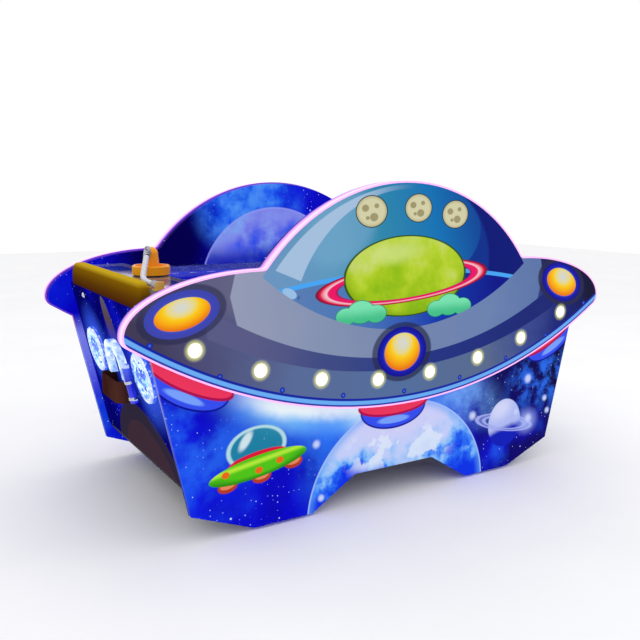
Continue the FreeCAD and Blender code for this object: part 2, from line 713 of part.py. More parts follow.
def felt():
    return rod((-MALLET_X, -MALLET_Y, DECK_Z), (0, 0, 1), MALLET_R - 5, FELT_T)


def puck():
    disc = rod((250, 0, FIELD_Z), (0, 0, 1), PUCK_R, PUCK_T)
    return disc.makeChamfer(1, [e for e in disc.Edges if e.BoundBox.ZLength < 1])


# ---- the tether ----
def ferrule(start, end):
    """A ribbed sleeve on the tether between two points."""
    length = (end - start).Length
    along = (end - start).normalize()
    core = Part.makeCylinder(CORD_R + 1, length, start, along)
    count = int((length - 4) // 9) + 1
    return joined([core] + [Part.makeCylinder(FERRULE_R, 4, start + along * (3 + 9 * i), along) for i in range(count)])


def tether():
    """Straight runs joined by tangent arcs through the route's points."""
    points = [Vector(*p) for p in CORD_ROUTE]
    start = points[0]
    edges = []
    for before, corner, after in zip(points, points[1:], points[2:]):
        back, on = before - corner, after - corner
        turn = math.pi - back.getAngle(on)
        reach = 0.45 * min(back.Length, on.Length)
        radius = reach / math.tan(turn / 2)
        print(f"tether: turn {math.degrees(turn):.1f} degrees, radius {radius:.0f} mm")
        first = corner + back.normalize() * reach
        last = corner + on.normalize() * reach
        middle = (back + on).normalize()
        centre = corner + middle * math.hypot(reach, radius)
        edges.append(Part.makeLine(start, first))
        edges.append(Part.Arc(first, centre - middle * radius, last).toShape())
        start = last
    edges.append(Part.makeLine(start, points[-1]))
    path = Part.Wire(edges)
    section = Part.Wire(Part.makeCircle(CORD_R, points[0], points[1] - points[0]))
    tube = path.makePipeShell([section], True, True)
    print(f"tether: {path.Length:.1f} mm long, volume over section x length "
          f"{tube.Volume / (math.pi * CORD_R**2 * path.Length):.4f}")
    return tube


def tether_anchor():
    """The ribbed sleeve at the table's end of the tether, held by a bolted tab on the deck."""
    x, y, z = CORD_END
    last, end = Vector(*CORD_ROUTE[-1]), Vector(*CORD_END)
    run = (last - Vector(*CORD_ROUTE[-2])).normalize()
    tab = box(x - 14, x + 14, y - 16, y + 6, DECK_Z, DECK_Z + 3)
    post = box(x - 10, x + 10, y - 8, y, DECK_Z, z + 9)
    return joined([ferrule(last, last + run * (end - last).Length), tab, post])


def tether_clip():
    """The ribbed sleeve that the mallet carries, cut to fit its knob."""
    first = Vector(*CORD_ROUTE[0])
    run = (first - Vector(*CORD_ROUTE[1])).normalize()
    return ferrule(first, first + run * ((Vector(*CORD_TOP) - first).Length + 8)).cut(mallet())


os.makedirs("parts", exist_ok=True)
for name, make in {
    "board": side_board,
    "saucer_frame": saucer_frame,
    "saucer_face": saucer_face,
    "edge_light": edge_light,
    "lamps": lamps,
    "side_rail": side_rail,
}.items():
    front = make()
    save(name + "_front", front)
    save(name + "_back", turned(front))

for name, make in {
    "rail": rail,
    "deck": deck,
    "puck_hood": puck_hood,
    "puck_tray": puck_tray,
    "puck_chute": puck_chute,
    "light_tube": light_tube,
}.items():
    right = make()
    save(name + "_right", right)
    save(name + "_left", turned(right))

save("end_wall_right", service_wall())
save("end_wall_left", turned(plain_wall()))
save("speaker_bezels", both(at_speakers(speaker_bezel())))
save("speaker_cones", both(at_speakers(speaker_cone())))
save("wall_fixings", both(wall_fixings()))

for make in (playfield, goal_bars, plenum, base_panel, foot_blocks, blower_housing, blower_motor,
             blower_impeller, power_box, power_inlet, power_switch, coin_plate, coin_button,
             cash_drawer, drawer_guide, service_door, service_hinge, puck, tether, tether_anchor,
             tether_clip):
    save(make.__name__, make())

save("cash_lock", lock(CASH_LOCK))
save("service_lock", lock(SERVICE_LOCK))

for number, (x, y) in enumerate([(-1, -1), (1, -1), (1, 1), (-1, 1)], 1):
    save(f"foot_{number}", foot(x * FOOT_X, y * FOOT_Y))

save("mallet_left", mallet())
save("mallet_right", turned(mallet()))
save("mallet_felt_left", felt())
save("mallet_felt_right", turned(felt()))
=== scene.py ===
# %% [markdown]
# # A flying-saucer air hockey table
# The real object is a coin-operated table for children: a lit playing bed between two tall side boards.
# Each board is a printed flying saucer on a printed base. All the shapes that set its size come from
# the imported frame, so this script finishes them: it prints the boards, lights the lamps, and adds the
# pieces that are too fine for the frame, such as the fluted speaker lenses and the woven tether.

# %% The frame
import math

import bmesh
import bpy
import numpy as np
from mathutils import Matrix


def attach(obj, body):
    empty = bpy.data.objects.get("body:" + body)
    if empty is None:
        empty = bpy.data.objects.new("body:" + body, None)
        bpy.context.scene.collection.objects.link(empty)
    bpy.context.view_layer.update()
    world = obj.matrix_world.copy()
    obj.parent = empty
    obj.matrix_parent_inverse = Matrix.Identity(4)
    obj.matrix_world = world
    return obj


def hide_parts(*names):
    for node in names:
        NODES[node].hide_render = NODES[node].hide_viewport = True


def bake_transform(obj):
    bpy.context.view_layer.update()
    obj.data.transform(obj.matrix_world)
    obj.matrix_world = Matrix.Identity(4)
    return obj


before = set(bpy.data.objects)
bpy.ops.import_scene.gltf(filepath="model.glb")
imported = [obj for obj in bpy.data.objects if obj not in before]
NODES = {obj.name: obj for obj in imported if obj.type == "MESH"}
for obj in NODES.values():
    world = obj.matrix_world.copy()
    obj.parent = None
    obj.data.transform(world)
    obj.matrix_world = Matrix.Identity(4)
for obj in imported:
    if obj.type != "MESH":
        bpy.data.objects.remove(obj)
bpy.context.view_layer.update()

# %% [markdown]
# ## Camera
# The camera stands low at the front left corner, about as high as the top of the domes. A camera's own
# axes are built from three turns: a heading, a slight look down and a very small roll. Writing the three
# axes as the columns of a matrix is plainer than stacking rotations, and nothing has to be aimed.

# %% Camera
heading, look_down, roll = 0.5561, 0.1682, 0.0117
forward = np.array([math.sin(heading) * math.cos(look_down), math.cos(heading) * math.cos(look_down),
                    -math.sin(look_down)])
level_right = np.array([math.cos(heading), -math.sin(heading), 0.0])
level_up = np.cross(level_right, forward)
right = level_right * math.cos(roll) + level_up * math.sin(roll)
up = level_up * math.cos(roll) - level_right * math.sin(roll)

lens = bpy.data.cameras.new("camera")
lens.lens, lens.sensor_width, lens.clip_end = 42.22, 36.0, 50.0
camera = bpy.data.objects.new("camera", lens)
placement = np.eye(4)
placement[:3, 0], placement[:3, 1], placement[:3, 2] = right, up, -forward
placement[:3, 3] = (-1.29688, -2.03403, 0.87965)
camera.matrix_world = Matrix(placement.tolist())
bpy.context.scene.collection.objects.link(camera)
bpy.context.scene.camera = camera
print("camera looks along", forward.round(3))

# %% [markdown]
# ## Writing materials as sums
# A printed picture made of nodes needs a lot of small sums. Adding every Math node by hand hides the
# idea, so a small class wraps a socket: `height - low` or `mask * 2` adds the right node by itself.
# `Recipe` owns one material, and its `node` method makes any other node.

# %% Colours, sockets and recipes
def ink(code):
    """A screen colour such as "#1a2b3c" as the linear red, green, blue and alpha that sockets expect."""
    parts = np.array([int(code[i:i + 2], 16) for i in (1, 3, 5)]) / 255
    linear = np.where(parts <= 0.04045, parts / 12.92, ((parts + 0.055) / 1.055) ** 2.4)
    return (*linear.tolist(), 1.0)


class Wire:
    """One output socket of a recipe. Sums written with it add Math nodes to the same material."""

    def __init__(self, recipe, socket):
        self.recipe, self.socket = recipe, socket

    def maths(self, operation, *values):
        return self.recipe.node("ShaderNodeMath", {"operation": operation}, dict(enumerate(values)))

    def __add__(self, other):
        return self.maths("ADD", self, other)

    def __sub__(self, other):
        return self.maths("SUBTRACT", self, other)

    def __rsub__(self, other):
        return self.maths("SUBTRACT", other, self)

    def __mul__(self, other):
        return self.maths("MULTIPLY", self, other)

    def __truediv__(self, other):
        return self.maths("DIVIDE", self, other)

    __radd__ = __add__

    def size(self):
        return self.maths("ABSOLUTE", self)

    def sign(self):
        return self.maths("SIGN", self)

    def sine(self):
        return self.maths("SINE", self)

    def fraction(self):
        return self.maths("FRACT", self)

    def root(self):
        return self.maths("SQRT", self.maths("MAXIMUM", self, 0.0))

    def most(self, other):
        return self.maths("MAXIMUM", self, other)

    def least(self, other):
        return self.maths("MINIMUM", self, other)

    def step(self, low, high):
        """0 at low and 1 at high, with a soft S between. With low above high it falls instead of rising."""
        return self.recipe.node("ShaderNodeMapRange", {"interpolation_type": "SMOOTHSTEP"},
                                {0: self, 1: low, 2: high, 3: 0.0, 4: 1.0})

    def band(self, low, high, soft):
        """1 between low and high, 0 outside, with edges as soft as asked."""
        return self.step(low - soft, low + soft) * self.step(high + soft, high - soft)


class Recipe:
    """A material under construction. Its shader's fixed numbers are given by socket name."""

    def __init__(self, name, **fixed):
        self.material = bpy.data.materials.new(name)
        self.material.use_nodes = True
        self.tree = self.material.node_tree
        self.shader = self.tree.nodes["Principled BSDF"]
        for socket, value in fixed.items():
            self.feed(socket.replace("_", " "), value)

    def feed(self, socket, value):
        if isinstance(value, Wire):
            self.tree.links.new(value.socket, self.shader.inputs[socket])
        else:
            self.shader.inputs[socket].default_value = ink(value) if isinstance(value, str) else value

    def node(self, kind, settings=None, inputs=None, output=0):
        """Any node: its settings first, then the values or wires of its sockets."""
        new = self.tree.nodes.new(kind)
        for key, value in (settings or {}).items():
            setattr(new, key, value)
        for key, value in (inputs or {}).items():
            if isinstance(value, Wire):
                self.tree.links.new(value.socket, new.inputs[key])
            else:
                new.inputs[key].default_value = ink(value) if isinstance(value, str) else value
        return Wire(self, new.outputs[output])

    def place(self):
        """Object coordinates: metres in the table's own frame, since every piece sits at the origin."""
        return self.node("ShaderNodeTexCoord", output="Object")

    def split(self, vector):
        parts = self.node("ShaderNodeSeparateXYZ", {}, {0: vector}).socket.node
        return [Wire(self, parts.outputs[i]) for i in range(3)]

    def joined(self, x, y, z):
        return self.node("ShaderNodeCombineXYZ", {}, {0: x, 1: y, 2: z})

    def ramp(self, value, stops):
        """A run of colours: stops are (position, colour) pairs."""
        run = self.node("ShaderNodeValToRGB", {}, {0: value})
        bar = run.socket.node.color_ramp
        for _ in stops[2:]:
            bar.elements.new(0.5)
        for element, (position, colour) in zip(bar.elements, stops):
            element.position, element.color = position, ink(colour)
        return run

    def layer(self, under, over, mask):
        """over laid on under, as far as mask says."""
        return self.node("ShaderNodeMix", {"data_type": "RGBA"}, {0: mask, 6: under, 7: over}, 2)

    def cloud(self, sheet, scale, detail=5.0, rough=0.6, shift=(0, 0, 0)):
        """Noise in a printed sheet, moved by shift so that two clouds differ."""
        moved = self.node("ShaderNodeMapping", {}, {"Vector": sheet, "Location": shift})
        return self.node("ShaderNodeTexNoise", {}, {"Vector": moved, "Scale": scale, "Detail": detail,
                                                    "Roughness": rough})

    def oval(self, sheet, at, half, turn=0.0):
        """Distance from an oval's centre, counted so that it is 1 all along the oval's edge.
        The sheet is moved to the centre, turned back by turn degrees and divided by the half lengths."""
        local = self.node("ShaderNodeMapping", {"vector_type": "TEXTURE"},
                          {"Vector": sheet, "Location": (at[0], 0, at[1]),
                           "Rotation": (0, -math.radians(turn), 0), "Scale": (half[0], 1, half[1])})
        return self.node("ShaderNodeVectorMath", {"operation": "LENGTH"}, {0: local}, "Value")

    def disc(self, sheet, at, half, turn=0.0, soft=0.02):
        """1 inside an oval and 0 outside."""
        return self.oval(sheet, at, half, turn).step(1 + soft, 1 - soft)

    def share_as_glow(self, colour, share):
        """A print that glows: the paper keeps a share of its colour, and the rest is emission. Where a light
        stands behind the piece this is its backlight; on pieces with no lamp behind them the glow is painted
        light.
        """
        self.feed("Base Color", self.layer("#000000", colour, share))
        self.feed("Emission Color", colour)

    def bump(self, height, distance):
        """Relief: height from 0 to 1 stands distance metres proud."""
        self.feed("Normal", self.node("ShaderNodeBump", {}, {"Height": height, "Distance": distance,
                                                             "Strength": 1.0}))


def finish_node(recipe, *names):
    """Gives a recipe's material to nodes of the frame."""
    for name in names:
        slots = NODES[name].data.materials
        slots.clear()
        slots.append(recipe.material)


print("recipes ready")

# %% [markdown]
# ## The space print
# The boards are covered with a printed sheet: deep blue space that turns almost black to the right,
# with bright clouds and stars. A flat print is a function of two lengths only, so the board's place is
# flattened to (x, 0, z) first. On the back board x is turned round, because the two boards are the same
# piece turned about the table's middle. Stars are Voronoi cells: only a few random cells hold a star,
# and a star's size follows its cell's random colour.

# %% Space
# a board's inner and outer print meet at its middle, this far from the table's own middle
BOARD_MIDDLE = 0.362

# the lower edge of the saucers is a circle: the height of its middle, then its radius on board and face
HULL_MIDDLE, HULL_RADIUS, FACE_RADIUS = 1.740, 1.455, 1.445


def flat_sheet(recipe, sign=1):
    """The board's place as a flat sheet, with x counted from left to right for somebody facing it."""
    x, _, z = recipe.split(recipe.place())
    x = x * sign
    return recipe.joined(x, 0.0, z), x, z


def stars(recipe, sheet, scale, keep, size):
    """Round white dots, at most one in a cell. keep is the share of cells that have one.
    The sheet stands upright, so it is laid flat for a pattern of two directions."""
    laid = recipe.node("ShaderNodeMapping", {}, {"Vector": sheet, "Rotation": (math.pi / 2, 0, 0)})
    cell = recipe.node("ShaderNodeTexVoronoi", {"voronoi_dimensions": "2D"},
                       {"Vector": laid, "Scale": scale})
    chance, other, _ = recipe.split(Wire(recipe, cell.socket.node.outputs["Color"]))
    radius = (other * 0.7 + 0.3) * size
    return ((radius - cell) / size).step(0.0, 0.55) * chance.step(1 - keep, 1 - keep + 0.02)


def space(recipe, sheet, x, dark_from=0.3):
    """Blue space with clouds, darker to the right, with two sizes of stars."""
    cloud = recipe.cloud(sheet, 4.0, 3.5, 0.5)
    wisp = recipe.cloud(sheet, 9.0, 4.0, 0.5, (3, 0, 1))
    deep = recipe.ramp(cloud, [(0.3, "#0702a4"), (0.48, "#0806cc"), (0.62, "#0a1ee6"), (0.78, "#2060f8")])
    night = recipe.ramp(cloud, [(0.35, "#080040"), (0.55, "#080070"), (0.7, "#0a0ccc"), (0.85, "#1c4cf4")])
    colour = recipe.layer(deep, night, (x + cloud * 0.2).step(dark_from, dark_from + 0.22))
    colour = recipe.layer(colour, "#2468f4", wisp.step(0.5, 0.8) * cloud.step(0.45, 0.75) * 0.7)
    small = stars(recipe, sheet, 62.0, 0.24, 0.13)
    large = stars(recipe, sheet, 21.0, 0.13, 0.085)
    return recipe.layer(colour, "#c4dcff", small.most(large))


def spilled_light(recipe, x, z, colour, soft):
    """The light of the saucer above, spilled on the print along its lower edge."""
    drop = HULL_MIDDLE - (HULL_RADIUS * HULL_RADIUS - x * x).root() - z
    glow = (drop + (soft - 0.5) * 0.05).step(0.055, 0.012) * x.band(-0.47, -0.1, 0.09)
    glow = glow.most(drop.step(0.12, 0.02) * x.band(-0.14, 0.05, 0.06) * 0.8)
    fog = (drop.step(0.19, 0.03) * x.band(-0.48, 0.2, 0.14) * (soft * 2.4 - 0.5)).least(0.9)
    colour = recipe.layer(colour, "#3a8cff", fog)
    colour = recipe.layer(colour, "#84ccff", drop.step(0.1, 0.03) * x.band(-0.48, -0.08, 0.12) * 0.8)
    return recipe.layer(colour, "#effeff", glow)


def bright_clouds(recipe, sheet, colour, fine, soft):
    """Four patches of brighter cloud between the planets."""
    patch = recipe.disc(sheet, (0.6, 0.28), (0.13, 0.09), 0, 0.6) * fine.step(0.4, 0.62)
    left = recipe.disc(sheet, (-0.62, 0.25), (0.12, 0.14), 0, 0.7)
    low = recipe.disc(sheet, (-0.24, 0.17), (0.08, 0.12), 0, 0.7)
    pale = recipe.disc(sheet, (0.27, 0.265), (0.12, 0.06), -25, 0.9)
    patch = patch.most(left * soft.step(0.42, 0.66) * 0.8).most(low * soft.step(0.35, 0.6) * 0.6)
    colour = recipe.layer(colour, "#7ab4ff", pale * soft.step(0.25, 0.6) * 0.9)
    return recipe.layer(colour, "#2c74ff", patch * 0.85)


def big_planet(recipe, sheet, x, z, colour, fine, soft):
    """A cloudy planet over the arch of the base: bright on top, blue seas below and a thin bright limb."""
    planet = recipe.oval(sheet, (0.0255, -0.017), (0.322, 0.303))
    land = (soft * 0.8 + fine * 0.2 + z * 1.5 - (x + 0.02).size() * 0.35).step(0.5, 0.76)
    ball = recipe.ramp(land, [(0.0, "#0a34ec"), (0.3, "#2f78fa"), (0.62, "#8cc4ff"), (1.0, "#c8d4ff")])
    ball = recipe.layer(ball, "#d4d4fc", z.step(0.14, 0.22) * x.band(-0.14, 0.16, 0.12))
    isles = recipe.cloud(sheet, 12.0, 3.0, 0.5, (7, 0, 2)).step(0.5, 0.54) * z.band(0.1, 0.2, 0.02)
    ball = recipe.layer(ball, "#e2ecff", isles * x.band(-0.15, 0.2, 0.04) * 0.85)
    ball = recipe.layer(ball, "#5ca4fc", planet.step(0.9, 1.0) * 0.6)
    colour = recipe.layer(colour, ball, planet.step(1.006, 0.994))
    return recipe.layer(colour, "#a8c4ff", planet.band(0.99, 1.003, 0.006))


def pale_planet(recipe, sheet, x, z, colour, fine):
    """A planet with a leaning ring on the right, and small moons over the whole sheet."""
    middle = 0.44
    body = recipe.oval(sheet, (middle, 0.156), (0.0705, 0.079))
    shade = recipe.layer("#0e1ebc", "#b4c0f8", (z - (x - middle) * 0.2 + fine * 0.02).step(0.138, 0.162))
    shade = recipe.layer(shade, "#dfe2ff", recipe.disc(sheet, (0.42, 0.205), (0.045, 0.03), 20, 0.8) * 0.8)
    colour = recipe.layer(colour, shade, body.step(1.02, 0.98))
    ring = recipe.oval(sheet, (middle, 0.157), (0.138, 0.029), -12.6)
    grooves = (ring * 30.0).sine().step(-0.7, 0.5)
    front = (1 - body.step(1.0, 0.98)).most((z + (x - middle) * 0.2235 - 0.157).step(0.002, -0.002))
    colour = recipe.layer(colour, "#a4acf4", ring.band(0.6, 0.98, 0.03) * (grooves * 0.7 + 0.3) * front)
    colour = recipe.layer(colour, "#a8b8fc", recipe.disc(sheet, (0.541, 0.147), (0.034, 0.03), 0, 0.9) * 0.8)
    for x_moon, z_moon, size, soft in ((0.548, 0.155, 0.012, 0.8), (0.537, 0.29, 0.013, 0.6),
                                       (0.621, 0.214, 0.009, 0.6), (0.636, 0.17, 0.009, 0.6),
                                       (0.49, 0.185, 0.009, 0.6), (0.3, 0.2, 0.012, 0.7),
                                       (-0.27, 0.205, 0.01, 0.7), (-0.253, 0.047, 0.009, 0.6)):
        moon = recipe.disc(sheet, (x_moon, z_moon), (size, size), 0, soft)
        colour = recipe.layer(colour, "#c9d6ff", moon)
    return colour


def pod(recipe, sheet, colour, at, turn):
    """A red collar over a blue half globe, hanging from the saucer and turned with its edge."""
    lean = math.radians(turn)

    def below(distance):
        return at[0] + distance * math.sin(lean), at[1] - distance * math.cos(lean)
    colour = recipe.layer(colour, "#0a0a96", recipe.disc(sheet, below(0.012), (0.117, 0.06), turn))
    colour = recipe.layer(colour, "#3550f2", recipe.disc(sheet, below(0.012), (0.112, 0.055), turn))
    colour = recipe.layer(colour, "#7aa4ff", recipe.disc(sheet, below(0.045), (0.055, 0.011), turn, 0.2))
    colour = recipe.layer(colour, "#b01050", recipe.disc(sheet, at, (0.125, 0.034), turn))
    face = (at[0], at[1] + 0.004)
    return recipe.layer(colour, "#f2385e", recipe.disc(sheet, face, (0.119, 0.031), turn))


def small_saucer(recipe, sheet, x, z, colour):
    """A green flying saucer with an empty glass dome, spots on its hull and three cups below."""
    for x_cup, z_cup in ((-0.5346, 0.137), (-0.4366, 0.146), (-0.342, 0.169)):
        cup = recipe.disc(sheet, (x_cup, z_cup), (0.028, 0.017), 8, 0.06)
        mouth = recipe.disc(sheet, (x_cup, z_cup + 0.003), (0.021, 0.010), 8, 0.2)
        colour = recipe.layer(recipe.layer(colour, "#b83c22", cup), "#f08a62", mouth)
    dome = recipe.oval(sheet, (-0.4505, 0.228), (0.088, 0.058), 5)
    glint = recipe.disc(sheet, (-0.483, 0.25), (0.012, 0.028), -35, 0.4)
    colour = recipe.layer(colour, "#1f8f8c", dome.step(1.02, 0.98) * 0.75)
    colour = recipe.layer(colour, "#bfe6f0", dome.band(0.86, 0.99, 0.04) * 0.9)
    colour = recipe.layer(colour, "#e8fbff", glint * 0.8)
    colour = recipe.layer(colour, "#e01838", recipe.disc(sheet, (-0.447, 0.198), (0.085, 0.019), 8, 0.06))
    hull = recipe.oval(sheet, (-0.444, 0.176), (0.144, 0.030), 9)
    rise = (x + 0.444) * 0.16
    green = recipe.layer("#52c818", "#2a8c14", hull.step(0.55, 1.0) * (0.19 + rise - z).step(0.0, 0.03))
    green = recipe.layer(green, "#b8f03c", (z - rise).band(0.184, 0.196, 0.006))
    colour = recipe.layer(colour, green, hull.step(1.02, 0.98))
    for x_spot, z_spot in ((-0.54, 0.168), (-0.445, 0.165), (-0.383, 0.182)):
        spot = recipe.disc(sheet, (x_spot, z_spot), (0.011, 0.009), 9, 0.15)
        colour = recipe.layer(colour, "#f06a1c", spot)
    return colour


def base_print(recipe, sign):
    """The outer side of a board: space, a big cloudy planet, a ringed planet and a small empty saucer."""
    sheet, x, z = flat_sheet(recipe, sign)
    colour = space(recipe, sheet, x)
    fine = recipe.cloud(sheet, 22.0, 6.0, 0.6, (1, 0, 5))
    soft = recipe.cloud(sheet, 7.0, 5.0, 0.6, (4, 0, 2))
    colour = spilled_light(recipe, x, z, colour, soft)
    colour = bright_clouds(recipe, sheet, colour, fine, soft)
    colour = big_planet(recipe, sheet, x, z, colour, fine, soft)
    colour = pale_planet(recipe, sheet, x, z, colour, fine)
    for at, turn in (((-0.009, 0.281), 0), ((-0.627, 0.428), -27), ((0.627, 0.428), 27)):
        colour = pod(recipe, sheet, colour, at, turn)
    return small_saucer(recipe, sheet, x, z, colour)


def inner_print(recipe, sign):
    """The side of a board that faces the playfield: space with one large misty planet, and painted light from
    the speakers near both ends.
    """
    sheet, x, z = flat_sheet(recipe, sign)
    colour = space(recipe, sheet, x, 0.28)
    fine = recipe.cloud(sheet, 9.0, 6.0, 0.6, (2, 0, 7))
    colour = recipe.layer(colour, "#060050", recipe.disc(sheet, (-0.42, 0.7), (0.17, 0.2), 0, 0.5))
    mist = recipe.disc(sheet, (-0.11, 0.83), (0.16, 0.14), 10, 0.5)
    colour = recipe.layer(colour, "#2474ff", mist * fine.step(0.3, 0.6))
    colour = recipe.layer(colour, "#64acff", mist * fine.step(0.45, 0.7) * 0.8)
    planet = recipe.oval(sheet, (-0.01, 0.545), (0.285, 0.281))
    ball = recipe.layer("#2450f4", "#8a92f4", (fine * 0.8 + planet * 0.45).step(0.52, 0.82))
    ball = recipe.layer(ball, "#88b4ff", fine.step(0.45, 0.66) * x.step(0.12, -0.12))
    ball = recipe.layer(ball, "#0112b4", (0.69 + fine * 0.08 - z).step(0.02, 0.09) * 0.9)
    colour = recipe.layer(colour, ball, planet.step(1.01, 0.985))
    colour = recipe.layer(colour, "#a0a8ff", planet.band(0.985, 1.0, 0.01) * 0.8)
    # painted light: the speakers' blue-violet light spilled on the board, low down near both ends
    painted_light_spill = z.step(0.16, 0.42) * z.step(0.5, 0.42) * x.size().step(0.6, 0.68)
    return recipe.layer(colour, "#8c94ff", painted_light_spill * 0.8)


def printed_board(name, sign):
    """One board: the base print outside and the planet print inside, under a clear glossy film, with painted
    glow.
    """
    # The boards have no lamp behind them: their emission is painted glow that brightens the print.
    recipe = Recipe(name, Specular_IOR_Level=0.03, Emission_Strength=0.6)
    _, y, _ = recipe.split(recipe.place())
    inside = y.size().step(BOARD_MIDDLE + 0.0006, BOARD_MIDDLE - 0.0006)
    recipe.share_as_glow(recipe.layer(base_print(recipe, sign), inner_print(recipe, -sign), inside), 0.34)
    film = recipe.cloud(recipe.place(), 160.0, 3.0)
    recipe.bump(film, 0.00012)
    recipe.feed("Roughness", film * 0.12 + 0.2)
    return recipe


finish_node(printed_board("printed board front", 1), "board_front")
finish_node(printed_board("printed board back", -1), "board_back")
print("boards printed")

# %% [markdown]
# ## The saucer's face
# The saucer is a clear acrylic sheet printed on its back and lit from behind, so its colours glow a
# little. The drawing is made of arcs that follow the hull: a light blue stripe along the lower edge, a
# navy band, a pale cockpit band, then the glass dome. Every arc is a height above a circle, which is one
# square root. The dome holds a planet and three moons. Orange lights are nested ovals.

# %% Saucer face
def above_arc(x, z, low, radius):
    """How far a point is above an arc that touches height low at x = 0 and curves up with that radius."""
    return z - low - radius + (radius * radius - x * x).root()


def orange_light(recipe, sheet, x, colour, at, half, turn):
    """A printed light: dark collar, blue ring, orange glass that pales towards the top."""
    lean = math.radians(turn)

    def grown(amount):
        return half[0] + amount, half[1] + amount * 0.72
    collar = recipe.disc(sheet, at, grown(0.042), turn, 0.03)
    colour = recipe.layer(colour, "#26284e", collar * (x * 0.2 + 0.8))
    ring = recipe.oval(sheet, at, grown(0.024), turn)
    rim = recipe.ramp(ring, [(0.0, "#3a48c8"), (0.7, "#3454cc"), (0.8, "#1418b4"), (0.97, "#0a0890")])
    rim = recipe.layer(rim, "#4650b8", x.step(-0.3, -0.6) * 0.75)
    colour = recipe.layer(colour, rim, ring.step(1.02, 0.98))
    glass = recipe.oval(sheet, at, half, turn)
    lit = (at[0] - 0.35 * half[1] * math.sin(lean), at[1] + 0.45 * half[1] * math.cos(lean))
    warm = recipe.oval(sheet, lit, (half[0] * 1.25, half[1] * 1.45), turn)
    fill = recipe.ramp(warm, [(0.12, "#dcdcd0"), (0.36, "#ecdc8c"), (0.5, "#ffd21c"), (0.72, "#ffae0c"),
                              (0.95, "#f0780e")])
    return recipe.layer(colour, fill, glass.step(1.02, 0.98))


def hull_bands(recipe, x, z, smoke):
    """The hull's own colours: a low part, a high part, a navy band and the pale band of the cockpit."""
    across = x * 0.62 + 0.5 + (smoke - 0.5) * 0.12
    low_hull = recipe.ramp(across, [(0.02, "#413a57"), (0.12, "#4c4a74"), (0.28, "#5a6c9a"), (0.5, "#5470a0"),
                                    (0.7, "#5a6c90"), (0.8, "#3a4a92"), (0.9, "#142078"), (0.98, "#0c0a34")])
    high_hull = recipe.ramp(across, [(0.02, "#5c5a7e"), (0.3, "#6a6a8c"), (0.7, "#303c78"), (0.85, "#1c1c58"),
                                     (0.97, "#0a0838")])
    navy = recipe.ramp(across, [(0.2, "#5a5c88"), (0.35, "#3c4a86"), (0.5, "#24368a"), (0.8, "#182678")])
    pale = recipe.ramp(across, [(0.15, "#9a9fb9"), (0.3, "#8a97b6"), (0.5, "#7688b0"), (0.7, "#6c84b4"),
                                (0.85, "#5a74aa")])
    band_low = above_arc(x, z, 0.393, 1.357)
    band_high = above_arc(x, z, 0.430, 1.116)
    colour = recipe.layer(low_hull, high_hull, (z - x.size() * 0.1).step(0.5, 0.56))
    colour = recipe.layer(colour, navy, band_low.step(-0.001, 0.001) * x.size().step(0.605, 0.595)
                          * band_high.step(0.001, -0.001))
    return recipe.layer(colour, pale, band_high.step(-0.001, 0.001)
                        * (x.size() + (z - 0.63).size() * 0.25).step(0.541, 0.537))


def dome_glass(recipe, sheet, x, z):
    """The dome's blue glass with its highlights, over a cabin with a few faint stars."""
    blue = recipe.ramp(x * 0.9 + 0.5 + (z - 0.75) * 0.3,
                       [(0.1, "#6c98c4"), (0.3, "#5a9cc0"), (0.42, "#2f8aae"), (0.6, "#0f74b8"),
                        (0.72, "#0a4fa0"), (0.85, "#04208a")])
    big = recipe.oval(sheet, (0.0, 0.775), (0.262, 0.155))
    glass = recipe.layer("#063090", blue, big.step(1.03, 0.99).most(x.step(0.06, -0.1)))
    glass = recipe.layer(glass, "#031478", recipe.oval(sheet, (-0.06, 0.68), (0.36, 0.27)).step(0.99, 1.03)
                         * x.step(0.14, 0.18))
    glass = recipe.layer(glass, "#78aed2", recipe.disc(sheet, (-0.22, 0.79), (0.12, 0.085), 35, 0.25) * 0.5)
    arch = z + x * x * 0.22
    cabin = recipe.ramp(x * 0.9 + 0.5, [(0.15, "#5c80b4"), (0.35, "#4a78bc"), (0.6, "#0838b0"),
                                        (0.8, "#02108c")])
    cabin = recipe.layer(cabin, "#10309c", stars(recipe, sheet, 26.0, 0.2, 0.2) * 0.35)
    glass = recipe.layer(glass, cabin, arch.step(0.668, 0.664))
    glass = recipe.layer(glass, "#48a8f8", arch.band(0.664, 0.676, 0.001))
    glint = recipe.disc(sheet, (0.02, 0.36), (0.545, 0.545), 0, 0.003)
    glint = glint * recipe.oval(sheet, (0.008, 0.515), (0.378, 0.378)).step(0.995, 1.005)
    glint = glint * (z + x * 0.41).step(0.516, 0.519) * x.step(0.03, -0.2)
    glass = recipe.layer(glass, "#a8c4e2", glint)
    return recipe.layer(glass, "#9cc4e8", recipe.disc(sheet, (-0.375, 0.628), (0.022, 0.012), -25, 0.1))


def cratered_moon(recipe, sheet, glass, at, size):
    """A pale oval with a dark outline, a shaded rim and four craters."""
    def half(share):
        return share * size, share * size * 0.82
    moon = recipe.oval(sheet, at, half(1.0))
    glass = recipe.layer(glass, "#20242c", moon.step(1.02, 0.98))
    glass = recipe.layer(glass, "#d8d4ac", moon.step(0.96, 0.92))
    glass = recipe.layer(glass, "#b4ac80", moon.step(0.72, 0.96) * moon.step(0.96, 0.92) * 0.7)
    for dx, dz, crater in ((-0.4, 0.2, 0.22), (0.3, 0.35, 0.15), (0.15, -0.35, 0.26), (-0.25, -0.4, 0.12)):
        spot = (at[0] + dx * size, at[1] + dz * size * 0.82)
        glass = recipe.layer(glass, "#a39a70", recipe.disc(sheet, spot, half(crater), 0, 0.15))
    return glass


